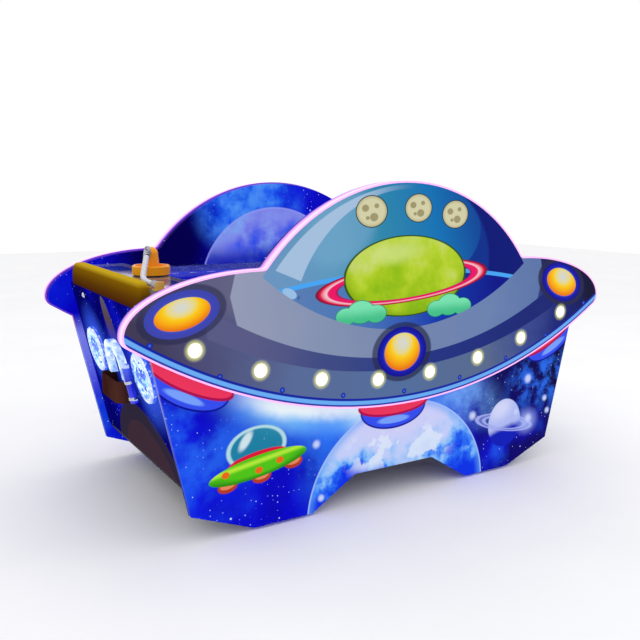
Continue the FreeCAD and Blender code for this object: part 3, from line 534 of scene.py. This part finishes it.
def green_planet(recipe, sheet, x, z, glass, mottle):
    """A mottled green planet with a dark outline and a red ring that passes behind and in front of it."""
    planet = recipe.oval(sheet, (0.0, 0.655), (0.212, 0.112))
    leaf = recipe.ramp(mottle + (z - 0.65) * 1.2, [(0.32, "#88bc10"), (0.46, "#a8cc1c"), (0.58, "#bcd834"),
                                                   (0.72, "#ccdc74")])
    leaf = recipe.layer(leaf, "#88b00c", planet.step(0.8, 1.0) * (0.66 - z).step(-0.05, 0.05))
    leaf = recipe.layer(leaf, "#d8e890", recipe.disc(sheet, (-0.05, 0.72), (0.09, 0.025), 5, 0.7) * 0.6)
    glass = recipe.layer(glass, "#28500c", planet.step(1.02, 0.995))
    glass = recipe.layer(glass, leaf, planet.step(0.985, 0.965))
    ring = recipe.oval(sheet, (0.0, 0.638), (0.300, 0.056), 4)
    near = planet.step(0.99, 1.01).most((z - x * 0.07).step(0.639, 0.637))
    band = recipe.ramp(ring, [(0.77, "#780838"), (0.80, "#f01468"), (0.87, "#f01468"), (0.89, "#f8d0d8"),
                              (0.95, "#e8104c"), (0.99, "#700828")])
    return recipe.layer(glass, band, ring.band(0.77, 1.0, 0.01) * near)


def cloud_puff(recipe, sheet, z, glass, at, mottle):
    """A mint cloud made of three ovals in a row, with a dark green outline."""
    puffs = [recipe.oval(sheet, (at[0] + dx, at[1] + dz), (size, size * 0.7))
             for dx, dz, size in ((-0.048, -0.006, 0.034), (0.0, 0.003, 0.046), (0.05, -0.005, 0.036))]
    puff = puffs[0].least(puffs[1]).least(puffs[2])
    glass = recipe.layer(glass, "#1a8a60", puff.step(1.02, 0.98))
    mint = recipe.layer("#46c48c", "#7ce8b4", (z - at[1] + mottle * 0.02).step(-0.01, 0.03))
    return recipe.layer(glass, mint, puff.step(0.96, 0.92))


def rim_details(recipe, sheet, colour):
    """Rivets, the light blue stripe along the rim, and the lamps' warm glow painted on the face round them.
    """
    for x_rivet, z_rivet in ((0.741, 0.530), (0.568, 0.437), (0.395, 0.381), (0.208, 0.342), (0.0, 0.327)):
        for side in (-1, 1):
            rivet = recipe.oval(sheet, (side * x_rivet, z_rivet), (0.0075, 0.0075))
            dot = recipe.ramp(rivet, [(0.0, "#5a8cf0"), (0.4, "#2448d8"), (0.9, "#10188c")])
            colour = recipe.layer(colour, dot, rivet.step(1.1, 0.9))
    deep = FACE_RADIUS - recipe.node("ShaderNodeVectorMath", {"operation": "DISTANCE"},
                                     {0: sheet, 1: (0.0, 0.0, HULL_MIDDLE)}, "Value")
    stripe = recipe.ramp(deep * 30.0, [(0.0, "#28349c"), (0.12, "#2c40b0"), (0.17, "#6cb0f8"),
                                       (0.44, "#6cb0f8"), (0.49, "#1226a4"), (0.66, "#1020a0")])
    colour = recipe.layer(colour, stripe, deep.step(0.0228, 0.0215))
    for x_lamp, z_lamp in ((0.092, 0.372), (0.277, 0.395), (0.457, 0.439), (0.631, 0.508)):
        for side in (-1, 1):
            # painted light: a warm glow round each lamp, as if it shone on the face
            painted_lamp_glow = recipe.oval(sheet, (side * x_lamp, z_lamp), (0.031, 0.031))
            colour = recipe.layer(colour, "#ecec9c", painted_lamp_glow.step(1.0, 0.5) * 0.8)
    return colour


def saucer_print(recipe, sign):
    """The whole face: the hull, the dome seen through the outline of the cockpit, and the lights."""
    sheet, x, z = flat_sheet(recipe, sign)
    colour = hull_bands(recipe, x, z, recipe.cloud(sheet, 6.0, 3.0))

    glass = dome_glass(recipe, sheet, x, z)
    mottle = recipe.cloud(sheet, 9.0, 4.0, 0.6, (6, 0, 3))
    for at, size in (((-0.127, 0.832), 0.052), ((0.031, 0.841), 0.048), ((0.165, 0.823), 0.049)):
        glass = cratered_moon(recipe, sheet, glass, at, size)
    glass = green_planet(recipe, sheet, x, z, glass, mottle)
    for at in ((-0.155, 0.562), (0.155, 0.562)):
        glass = cloud_puff(recipe, sheet, z, glass, at, mottle)
    cockpit = above_arc(x, z, 0.508, 0.700)
    dome = recipe.oval(sheet, (0.0, 0.36), (0.549, 0.549))
    inside = cockpit.step(-0.001, 0.001) * x.size().step(0.457, 0.453) * dome.step(1.002, 0.998)
    colour = recipe.layer(colour, glass, inside)

    for at, half, turn in (((-0.011, 0.442), (0.062, 0.054), 0), ((-0.660, 0.597), (0.071, 0.037), 12),
                           ((0.628, 0.605), (0.071, 0.042), -20)):
        colour = orange_light(recipe, sheet, x, colour, at, half, turn)
    return rim_details(recipe, sheet, colour)


def lit_face(name, sign):
    """One face: the saucer's print under clear acrylic with a little dust in its gloss."""
    recipe = Recipe(name, Specular_IOR_Level=0.06, Emission_Strength=0.6)
    recipe.share_as_glow(saucer_print(recipe, sign), 0.33)
    recipe.feed("Roughness", recipe.cloud(recipe.place(), 30.0, 4.0) * 0.1 + 0.07)
    return recipe


finish_node(lit_face("saucer face front", 1), "saucer_face_front")
finish_node(lit_face("saucer face back", -1), "saucer_face_back")
print("saucer faces printed")

# %% [markdown]
# ## Lit plastics
# The band round the saucer is milky acrylic over a pink light strip. It is whitest at the front, where
# the strip shines through, and violet where it meets the board. The round lamps are warm white caps.
# The puck arch is lit white and blue. The tubes have no lamp of their own: their blue glow is painted
# light, and the pale rings at two heights on them are painted highlights. All of these are emission with a
# coloured falloff.

# %% Lit plastics
# the edge band runs outwards from its back, and a cap stands out from the saucer's face, all along y
BAND_BACK, BAND_DEPTH = 0.371, 0.034
CAP_BACK, CAP_DEPTH = 0.404, 0.005
TUBE_FOOT, TUBE_HIGHLIGHT_HEIGHTS = 0.32, (0.330, 0.421)


def glowing(name, colour_of, strength, **fixed):
    """A lit plastic: colour_of makes its colours, and nearly all of them are emission."""
    recipe = Recipe(name, Emission_Strength=strength, **fixed)
    recipe.share_as_glow(colour_of(recipe), 0.12)
    return recipe


def strip_light(recipe):
    _, y, _ = recipe.split(recipe.place())
    return recipe.ramp((y.size() - BAND_BACK) / BAND_DEPTH, [(0.0, "#6a34c0"), (0.3, "#d888f0"),
                                                             (0.65, "#fcc4f6"), (0.93, "#ffdcf8"),
                                                             (1.0, "#fcb8f8")])


def cap_light(recipe):
    _, y, _ = recipe.split(recipe.place())
    return recipe.ramp((y.size() - CAP_BACK) / CAP_DEPTH, [(0.0, "#e8e4b4"), (0.3, "#fbf8dc"),
                                                           (0.8, "#ffffff")])


def arch_light(recipe):
    cloud = recipe.cloud(recipe.place(), 40.0, 4.0)
    return recipe.ramp(cloud, [(0.3, "#3a6cf4"), (0.5, "#b4d4ff"), (0.6, "#f4fbff")])


def tube_painted_glow(recipe):
    _, _, z = recipe.split(recipe.place())
    # painted highlights: pale rings at two heights; the whole blue glow of the tube is painted light too
    low, high = [(z - clamp).size().step(0.006, 0.003) for clamp in TUBE_HIGHLIGHT_HEIGHTS]
    core = recipe.ramp((z - TUBE_FOOT) * 9.0, [(0.0, "#2c3cf4"), (0.5, "#1414c8"), (1.0, "#4c6cff")])
    return recipe.layer(core, "#c8d8ff", low.most(high))


finish_node(glowing("strip light", strip_light, 1.0, Roughness=0.35), "edge_light_front", "edge_light_back")
finish_node(glowing("cap light", cap_light, 1.6, Roughness=0.3), "lamps_front", "lamps_back")
finish_node(glowing("arch light", arch_light, 1.0, Roughness=0.2), "puck_hood_left", "puck_hood_right")
finish_node(glowing("tube painted glow", tube_painted_glow, 0.8, Roughness=0.15), "light_tube_left", "light_tube_right")
print("lit plastics ready")

# %% [markdown]
# ## End walls
# The ends carry the same deep blue print with a few large, quiet shapes: two broad, dark brown arcs low
# on the wall, and above the arch a leaning brown oval that is a painted reflection. The speakers' light
# spills blue round them as painted light, with a weaker painted spill in the middle. The walls have no
# lamp behind them, so their glow is painted light too.

# %% End walls
def end_print(recipe):
    """The print of both ends with its painted reflection and painted light, with y counted from left to right
    for somebody facing the wall.
    """
    x, y, z = recipe.split(recipe.place())
    y = y * x.sign()
    sheet = recipe.joined(y, 0.0, z)
    cloud = recipe.cloud(sheet, 5.0, 5.0, 0.6, (5, 0, 1))
    colour = recipe.ramp(cloud, [(0.3, "#03024a"), (0.5, "#060684"), (0.62, "#0b10c0"), (0.78, "#2050e8")])
    colour = recipe.layer(colour, "#b8ccff", stars(recipe, sheet, 70.0, 0.16, 0.15))
    arc = recipe.oval(sheet, (0.05, 0.02), (0.30, 0.27))
    colour = recipe.layer(colour, "#342c40", arc.step(1.01, 0.99))
    colour = recipe.layer(colour, "#44303e", arc.step(0.81, 0.79))
    # painted reflection: a leaning brown oval above the arch
    leaf = recipe.oval(sheet, (-0.01, 0.508), (0.036, 0.085), 12)
    reflection_colour = recipe.ramp((z - 0.43) * 6.0, [(0.0, "#5a2410"), (0.5, "#5c4448"), (1.0, "#66607a")])
    colour = recipe.layer(colour, reflection_colour, leaf.step(1.03, 0.97))
    # painted light: blue spill round each speaker, and a weaker one in the middle
    for side in (-1, 1):
        painted_light_spill = recipe.oval(sheet, (side * 0.212, 0.40), (0.16, 0.17))
        colour = recipe.layer(colour, "#3c64ff", painted_light_spill.step(1.0, 0.35) * 0.75)
    painted_light_spill = recipe.oval(sheet, (0.0, 0.41), (0.12, 0.13))
    return recipe.layer(colour, "#2a48f0", painted_light_spill.step(1.0, 0.4) * 0.6)


# The end walls have no lamp behind them: their emission is painted glow.
walls = Recipe("end print", Roughness=0.4, Specular_IOR_Level=0.0, Emission_Strength=0.55)
walls.share_as_glow(end_print(walls), 0.3)
walls.bump(walls.cloud(walls.place(), 120.0, 3.0), 0.00015)
finish_node(walls, "end_wall_left", "end_wall_right", "service_door")
print("end walls printed")

# %% [markdown]
# ## Moulded and metal finishes
# A moulded plastic is one colour with small changes in gloss where hands and dust have been. A metal
# needs direction: brushed sheet has fine scratches along one axis, so its noise is stretched. One helper
# makes each kind, and the colour varies a little over the piece so that nothing looks poured flat.

# %% Moulded and metal finishes
def plastic_skin(name, rough, **fixed):
    """Plastic still without a colour: cloudy gloss and a very fine orange-peel skin."""
    recipe = Recipe(name, **fixed)
    gloss = recipe.cloud(recipe.place(), 25.0, 4.0, 0.6, (1, 2, 3))
    recipe.feed("Roughness", gloss * 0.16 + (rough - 0.08))
    recipe.bump(recipe.cloud(recipe.place(), 400.0, 2.0), 0.00008)
    return recipe


def moulded(name, light, dark, rough, **fixed):
    """Plastic whose colour drifts slowly between two close ones."""
    recipe = plastic_skin(name, rough, **fixed)
    drift = recipe.cloud(recipe.place(), 6.0, 4.0)
    recipe.feed("Base Color", recipe.layer(dark, light, drift.step(0.3, 0.7)))
    return recipe


def brushed(name, light, dark, rough, stretch=(1, 40, 40)):
    """Sheet metal: noise stretched along the brushing, in the colour, the gloss and a faint relief."""
    recipe = Recipe(name, Metallic=1.0)
    lines = recipe.node("ShaderNodeMapping", {}, {"Vector": recipe.place(), "Scale": stretch})
    lines = recipe.node("ShaderNodeTexNoise", {}, {"Vector": lines, "Scale": 12.0, "Detail": 4.0})
    recipe.feed("Base Color", recipe.layer(dark, light, lines.step(0.3, 0.7)))
    recipe.feed("Roughness", lines * 0.25 + (rough - 0.12))
    recipe.bump(lines, 0.00005)
    return recipe


def timber(name, light, dark):
    """Plywood and raw board: rings stretched along x with a fine pore pattern."""
    recipe = Recipe(name, Roughness=0.75)
    along = recipe.node("ShaderNodeMapping", {}, {"Vector": recipe.place(), "Scale": (1, 9, 9)})
    grain = recipe.node("ShaderNodeTexNoise", {}, {"Vector": along, "Scale": 9.0, "Detail": 7.0,
                                                   "Distortion": 1.2})
    recipe.feed("Base Color", recipe.layer(dark, light, grain.step(0.35, 0.62)))
    recipe.bump(grain, 0.0004)
    return recipe


def rail_yellow(low, height):
    """The rail: yellow, with painted shade that turns it brown towards its foot and a painted highlight along
    its top edge.
    """
    recipe = plastic_skin("yellow rail", 0.3, Specular_IOR_Level=0.0)
    _, _, z = recipe.split(recipe.place())
    recipe.feed("Base Color", recipe.ramp((z - low) / height, [(0.0, "#441f0c"), (0.4, "#5e3a08"),
                                                               (0.8, "#7c5806"), (1.0, "#bc9c20")]))
    return recipe


def ribbed(name, socket_colour):
    """A sleeve with a dark ring every nine millimetres, and its socket's own colour below and beyond it."""
    recipe = plastic_skin(name, 0.45)
    _, y, z = recipe.split(recipe.place())
    ring = ((y + 1.0) / 0.009).fraction().band(0.1, 0.5, 0.08)
    grey = recipe.layer("#c4c4cc", "#34343c", ring)
    socket = z.step(0.6525, 0.6515).most(y.step(-0.3335, -0.3345))
    recipe.feed("Base Color", recipe.layer(grey, socket_colour, socket))
    return recipe


finish_node(rail_yellow(0.596, 0.067), "rail_left", "rail_right")
finish_node(moulded("brown tray", "#4c2a24", "#341a14", 0.2, Specular_IOR_Level=0.0),
            "puck_tray_left", "puck_tray_right")
finish_node(moulded("orange mallet", "#fbae08", "#f09404", 0.3, Specular_IOR_Level=0.25),
            "mallet_left", "mallet_right")
finish_node(moulded("red puck", "#d81c10", "#b00c08", 0.3), "puck")
finish_node(moulded("red button", "#e01818", "#b80808", 0.25), "coin_button")
finish_node(moulded("black moulding", "#141416", "#08080a", 0.4),
            "power_inlet", "power_switch", "blower_impeller")
finish_node(moulded("black enamel", "#18181c", "#0c0c10", 0.35), "blower_motor")
finish_node(ribbed("anchor fitting", "#c89c34"), "tether_anchor")
finish_node(ribbed("mallet sleeve", "#c4c4cc"), "tether_clip")
finish_node(brushed("zinc sheet", "#b0b4b8", "#868a90", 0.38),
            "puck_chute_left", "puck_chute_right", "blower_housing", "power_box", "drawer_guide")
finish_node(brushed("satin steel", "#a4a6aa", "#7e8086", 0.3, (40, 1, 40)),
            "coin_plate", "service_hinge", "cash_drawer")
finish_node(brushed("chrome", "#dadde2", "#b8bcc4", 0.14, (8, 8, 8)),
            "wall_fixings", "cash_lock", "service_lock")
finish_node(brushed("foot zinc", "#9a9ca0", "#6c6e72", 0.35, (30, 30, 2)),
            "foot_1", "foot_2", "foot_3", "foot_4")
finish_node(brushed("cushion rail", "#c4c8d4", "#a0a4b4", 0.25),
            "side_rail_front", "side_rail_back", "goal_bars")
finish_node(timber("bare wood", "#b48c5c", "#8c6438"),
            "saucer_frame_front", "saucer_frame_back", "plenum", "foot_blocks")
finish_node(timber("black board", "#16141c", "#0c0a12"), "base_panel")

felt = Recipe("felt", Roughness=0.95, Sheen_Weight=0.4)
nap = felt.cloud(felt.place(), 500.0, 3.0)
felt.feed("Base Color", felt.layer("#16161c", "#34343c", nap.step(0.35, 0.7)))
felt.bump(nap, 0.0006)
finish_node(felt, "mallet_felt_left", "mallet_felt_right")
print("plastics, metals, wood and felt ready")

# %% [markdown]
# ## Decks and playfield
# The deck at each end is a polished grey cover that mirrors the lit bands, with a blue rectangle in a
# thin pink outline drawn on it. The playfield is a glossy blue space print drilled with rows of small air
# holes, and it has a centre line, a circle and white dashes. The holes are dark dots of painted shade and
# repeat every 25 mm: the place inside a square is the remainder of x and y, so one formula draws them all.

# %% Decks and playfield
def deck_cover():
    """Polished grey, with a blue rectangle in a thin pink outline beside each mallet's place."""
    blue_patch_x, blue_patch_y = 0.633, 0.2
    recipe = Recipe("polished cover", Metallic=0.55)
    x, y, _ = recipe.split(recipe.place())
    haze = recipe.cloud(recipe.place(), 8.0, 5.0)
    colour = recipe.ramp(haze, [(0.3, "#6a6a78"), (0.55, "#9c9cac"), (0.75, "#b8b8c4")])
    along = (x.size() - blue_patch_x).size()
    across = (y.size() - blue_patch_y).size()
    colour = recipe.layer(colour, "#2c4ca8", along.step(0.041, 0.04) * across.step(0.071, 0.07))
    colour = recipe.layer(colour, "#e0a0e8", along.band(0.043, 0.046, 0.0006) * across.step(0.0742, 0.0738))
    recipe.feed("Base Color", colour)
    recipe.feed("Roughness", haze * 0.14 + 0.03)
    return recipe


def bed_print():
    """The playfield: space with a centre line, three circles, dashed borders and the air holes."""
    recipe = Recipe("playfield print", Roughness=0.12, Specular_IOR_Level=0.4, Emission_Strength=0.3)
    x, y, _ = recipe.split(recipe.place())
    sheet = recipe.joined(x, 0.0, y)
    colour = space(recipe, sheet, x.size(), 0.7)
    marks = x.size().step(0.0035, 0.0025)
    marks = marks.most(recipe.oval(sheet, (0.0, 0.0), (0.13, 0.13)).band(0.975, 1.0, 0.006))
    for end in (-1, 1):
        goal = recipe.oval(sheet, (end * 0.575, 0.0), (0.16, 0.16))
        marks = marks.most(goal.band(0.98, 1.0, 0.005))
    dash = (x * 16.0).fraction().band(0.2, 0.6, 0.03)
    marks = marks.most((y.size() - 0.285).size().step(0.004, 0.003) * dash)
    colour = recipe.layer(colour, "#e8ecff", marks)
    hole_x, hole_y = [(place * 40.0).fraction() - 0.5 for place in (x, y)]
    # painted shade: the dark dots stand for the shade inside the air holes, which the mesh does not have
    holes = (hole_x * hole_x + hole_y * hole_y).root().step(0.05, 0.035)
    recipe.share_as_glow(recipe.layer(colour, "#02020c", holes), 0.5)
    recipe.bump(1 - holes, 0.001)
    return recipe


finish_node(deck_cover(), "deck_left", "deck_right")
finish_node(bed_print(), "playfield")
print("deck and playfield ready")

# %% [markdown]
# ## Surfaces from grids
# New pieces are grids of points: rows and columns worked out as whole arrays, then joined into
# four-sided faces. A closed grid joins its last column to its first, and a row whose points all meet
# becomes a pole. Each formula turns its faces outwards, so the one helper below never has to flip any.

# %% Grid surfaces
def grid_faces(rows, columns, loop):
    """Corner numbers of the faces between neighbouring rows and columns."""
    number = np.arange(rows * columns).reshape(rows, columns)
    if loop:
        number = np.concatenate([number, number[:, :1]], axis=1)
    corners = [number[:-1, :-1], number[:-1, 1:], number[1:, 1:], number[1:, :-1]]
    return np.stack(corners, axis=-1).reshape(-1, 4)


def merge_poles(mesh):
    """A row whose points all meet becomes one point, so that the surface is closed there."""
    work = bmesh.new()
    work.from_mesh(mesh)
    bmesh.ops.remove_doubles(work, verts=work.verts, dist=1e-6)
    work.to_mesh(mesh)
    work.free()


def grid_piece(name, points, recipe, body, loop=True, copies=None):
    """A smooth mesh from points shaped (rows, columns, 3). copies adds more grids of the same shape."""
    grids = [points] + list(copies or [])
    rows, columns = points.shape[:2]
    faces = np.concatenate([grid_faces(rows, columns, loop) + i * rows * columns for i in range(len(grids))])
    mesh = bpy.data.meshes.new(name)
    mesh.from_pydata(np.concatenate([g.reshape(-1, 3) for g in grids]).tolist(), [], faces.tolist())
    merge_poles(mesh)
    mesh.shade_smooth()
    mesh.materials.append(recipe.material)
    piece = bpy.data.objects.new(name, mesh)
    bpy.context.scene.collection.objects.link(piece)
    if body:
        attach(piece, body)
    print(f"{name}: {len(mesh.polygons)} faces")
    return piece


# %% [markdown]
# ## Speaker lenses
# Each speaker shines through a clear lens pressed with flutes, bright cyan-white at the rim. The lens is
# a shallow dome in polar form: the height falls with the square of the distance from the middle, and a
# cosine of the angle adds the flutes. The wall leans, so every point is turned with it and set on it.

# %% Speaker lenses
# the right wall's foot, how far it leans out for each metre up, and the speakers' middles on it
FOOT_X, FOOT_Z, SLOPE = 0.612, 0.067, 0.225
SPEAKER_Y, SPEAKER_Z = 0.212, 0.408
LENS_RADIUS, LENS_BACK, LENS_EDGE, LENS_RISE = 0.0545, 0.0075, 0.0088, 0.004
FLUTES, FLUTE_DEPTH, RING_DEPTH = 18, 0.0012, 0.0008

LEAN = math.atan(SLOPE)
ALONG_OUT = np.array([math.cos(LEAN), 0.0, -math.sin(LEAN)])
ALONG_UP = np.array([math.sin(LEAN), 0.0, math.cos(LEAN)])
ACROSS = np.array([0.0, 1.0, 0.0])


def on_wall(out, across, upward, y, z):
    """Points standing on the right wall: out of it, across it and up it, from the spot at y and z."""
    spot = np.array([FOOT_X + SLOPE * (z - FOOT_Z), y, z])
    return spot + out[..., None] * ALONG_OUT + across[..., None] * ACROSS + upward[..., None] * ALONG_UP


def other_end(points):
    """The same points at the other end of the table: half a turn about the upright axis."""
    return points * np.array([-1.0, -1.0, 1.0])


def lens_points(y):
    """One lens: a flat back from its middle to the rim, then the fluted front from the rim to the middle."""
    reach = np.concatenate([[0.0, 1.0], np.linspace(1.0, 0.0, 26)])[:, None]
    angle = np.linspace(0, 2 * math.pi, 144, endpoint=False)[None, :]
    fade = np.sin(math.pi * np.clip((reach - 0.25) / 0.75, 0, 1))
    flutes = FLUTE_DEPTH * np.cos(FLUTES * angle) * fade
    rings = RING_DEPTH * np.cos(reach * 24)
    out = LENS_EDGE + LENS_RISE * (1 - reach**2) + flutes + rings
    out[:2] = LENS_BACK
    radius = reach * LENS_RADIUS
    return on_wall(out, radius * np.cos(angle), radius * np.sin(angle), y, SPEAKER_Z)


def lens_glow():
    """Clear shards lit from behind, from deep blue to white, brighter towards the rim."""
    recipe = Recipe("speaker lens", Roughness=0.08, Emission_Strength=1.0)
    _, y, z = recipe.split(recipe.place())
    sheet = recipe.joined(y.size(), 0.0, z)
    from_middle = recipe.oval(sheet, (SPEAKER_Y, SPEAKER_Z), (0.055, 0.0535))
    shard = recipe.node("ShaderNodeTexVoronoi", {"feature": "F1"},
                        {"Vector": recipe.place(), "Scale": 75.0}, "Color")
    shine, _, _ = recipe.split(shard)
    recipe.share_as_glow(recipe.ramp(shine * 0.62 + from_middle * 0.34,
                               [(0.12, "#0c1cc8"), (0.34, "#3c74fc"), (0.6, "#98d8ff"), (0.85, "#f0ffff")]),
                   0.12)
    return recipe


lens_grids = [lens_points(y) for y in (-SPEAKER_Y, SPEAKER_Y)]
lens_grids += [other_end(g) for g in lens_grids]
lenses = grid_piece("speaker_lenses", lens_grids[0], lens_glow(), "table", copies=lens_grids[1:])

bezels = brushed("lit bezel", "#e4ecf8", "#b4c4e8", 0.2, (8, 8, 8))
# The chrome bezels are no lamps: their blue and white emission is a painted reflection of the speaker light.
shards = bezels.cloud(bezels.place(), 90.0, 3.0, 0.7)
bezels.feed("Emission Color", bezels.ramp(shards, [(0.35, "#0c1cc0"), (0.52, "#4c88ff"), (0.62, "#e8f8ff")]))
bezels.feed("Emission Strength", 0.45)
finish_node(bezels, "speaker_bezels")


def dish_light(recipe):
    return recipe.ramp(recipe.cloud(recipe.place(), 30.0), [(0.3, "#2040e0"), (0.6, "#a8d0ff")])


finish_node(glowing("speaker dish", dish_light, 0.6, Roughness=0.2), "speaker_cones")

# %% [markdown]
# ## The tether
# A short woven tether keeps the left mallet with the table. It leaves the sleeve on the mallet's knob,
# sags over the deck and ends in a sleeve on a small tab beside the board. Its line is one smooth spline
# through few points. The tube is a circle carried along that line, with a fine woven ripple.

# %% Tether line
TETHER_ROUTE = [(-0.6284, -0.0672, 0.7030), (-0.6455, -0.1060, 0.6880), (-0.6650, -0.1505, 0.6720),
                (-0.6820, -0.1960, 0.6625), (-0.6905, -0.2360, 0.6590), (-0.6935, -0.2700, 0.6585),
                (-0.6920, -0.3000, 0.6585)]
TETHER_R = 0.0075
TETHER_ROWS, TETHER_COLUMNS = 220, 24
WEAVE_DEPTH, WEAVE_TURN = 0.00022, 1100


def smooth_line(route):
    """A NURBS spline with the route's points as its control points, read back as a row of points."""
    curve = bpy.data.curves.new("line", "CURVE")
    curve.dimensions = "3D"
    spline = curve.splines.new("NURBS")
    spline.points.add(len(route) - 1)
    spline.points.foreach_set("co", np.hstack([np.array(route), np.ones((len(route), 1))]).ravel())
    spline.order_u = 3
    spline.use_endpoint_u = True
    spline.resolution_u = 16
    holder = bpy.data.objects.new("line", curve)
    bpy.context.scene.collection.objects.link(holder)
    mesh = bpy.data.meshes.new_from_object(holder)
    line = np.zeros(len(mesh.vertices) * 3)
    mesh.vertices.foreach_get("co", line)
    bpy.data.objects.remove(holder)
    return line.reshape(-1, 3)


def even_line(line, count):
    """The same line with points at even distances, found by length along it."""
    run = np.concatenate([[0], np.cumsum(np.linalg.norm(np.diff(line, axis=0), axis=1))])
    at = np.linspace(0, run[-1], count)
    return np.stack([np.interp(at, run, line[:, i]) for i in range(3)], axis=1), run[-1]


def tube_points(line, radius):
    """A tube round a line: across is level, lift is square to both, and radius may change along it.
    Where the radius is zero, at both ends, the tube closes to a point."""
    ahead = np.gradient(line, axis=0)
    ahead /= np.linalg.norm(ahead, axis=1, keepdims=True)
    across = np.cross(ahead, [0, 0, 1])
    across /= np.linalg.norm(across, axis=1, keepdims=True)
    lift = np.cross(across, ahead)
    angle = np.linspace(0, 2 * math.pi, radius.shape[1], endpoint=False)[None, :, None]
    turned = across[:, None] * np.cos(angle) + lift[:, None] * np.sin(angle)
    return line[:, None] + turned * radius[..., None]


tether_line, tether_length = even_line(smooth_line(TETHER_ROUTE), TETHER_ROWS)
rows = np.linspace(0, tether_length, TETHER_ROWS)[:, None]
turns = np.linspace(0, 2 * math.pi, TETHER_COLUMNS, endpoint=False)[None, :]
weave = WEAVE_DEPTH * (np.cos(4 * turns + rows * WEAVE_TURN) * np.cos(4 * turns - rows * WEAVE_TURN))
open_ends = np.where((rows == 0) | (rows >= tether_length), 0.0, 1.0)
tether_radius = (TETHER_R + weave - 0.0002) * open_ends
print(f"tether: {tether_length * 1000:.0f} mm")

cloth = Recipe("woven tether", Roughness=0.55, Sheen_Weight=0.2)
thread = cloth.node("ShaderNodeTexWave", {"wave_type": "BANDS", "bands_direction": "DIAGONAL"},
                    {"Vector": cloth.place(), "Scale": 160.0, "Distortion": 1.0})
cloth.feed("Base Color", cloth.layer("#a4a4b0", "#ececf4", thread))
cloth.bump(thread, 0.0004)
tether = grid_piece("woven_tether", tube_points(tether_line, tether_radius)[:, ::-1], cloth, None)
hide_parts("tether")
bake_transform(tether)

# %% [markdown]
# ## Floor and light
# A plain pale floor, a white sky for soft fill, and three large soft lamps: a key high on the front
# left, a weaker one on the right and one above, as in a product studio. The prints already glow, so the
# lamps stay gentle and the deep blues keep their colour.

# %% Floor and light
FLOOR_HALF, FLOOR_Z = 9, -0.0005
floor_paint = Recipe("floor", Roughness=0.9, Specular_IOR_Level=0.1)
floor_wear = floor_paint.cloud(floor_paint.place(), 2.0)
floor_paint.feed("Base Color", floor_paint.layer("#f2f2f4", "#fbfbfc", floor_wear))
side = np.linspace(-FLOOR_HALF, FLOOR_HALF, 12)
floor_x, floor_y = np.meshgrid(side, side, indexing="ij")
floor_points = np.stack([floor_x, floor_y, np.full_like(floor_x, FLOOR_Z)], axis=-1)
floor = grid_piece("floor", floor_points, floor_paint, None, loop=False)

world = bpy.data.worlds.new("sky")
world.use_nodes = True
world.node_tree.nodes["Background"].inputs["Color"].default_value = (1.0, 1.0, 1.0, 1.0)
world.node_tree.nodes["Background"].inputs["Strength"].default_value = 1.0
bpy.context.scene.world = world


def soft_lamp(name, place, aim, size, power):
    """A square lamp at place that faces aim."""
    light = bpy.data.lights.new(name, "AREA")
    light.energy, light.size = power, size
    lamp = bpy.data.objects.new(name, light)
    back = np.array(place, float) - np.array(aim, float)
    back /= np.linalg.norm(back)
    sideways = np.cross([0, 0, 1], back)
    sideways /= np.linalg.norm(sideways)
    pose = np.eye(4)
    pose[:3, 0], pose[:3, 1], pose[:3, 2], pose[:3, 3] = sideways, np.cross(back, sideways), back, place
    lamp.matrix_world = Matrix(pose.tolist())
    bpy.context.scene.collection.objects.link(lamp)


soft_lamp("key", (-2.2, -3.0, 2.8), (0, 0, 0.4), 2.0, 12)
soft_lamp("fill", (3.0, -2.0, 2.0), (0, 0, 0.4), 2.0, 6)
soft_lamp("top", (0.3, 0.6, 3.2), (0, 0, 0.4), 2.0, 10)
bpy.context.scene.view_settings.view_transform = "Standard"
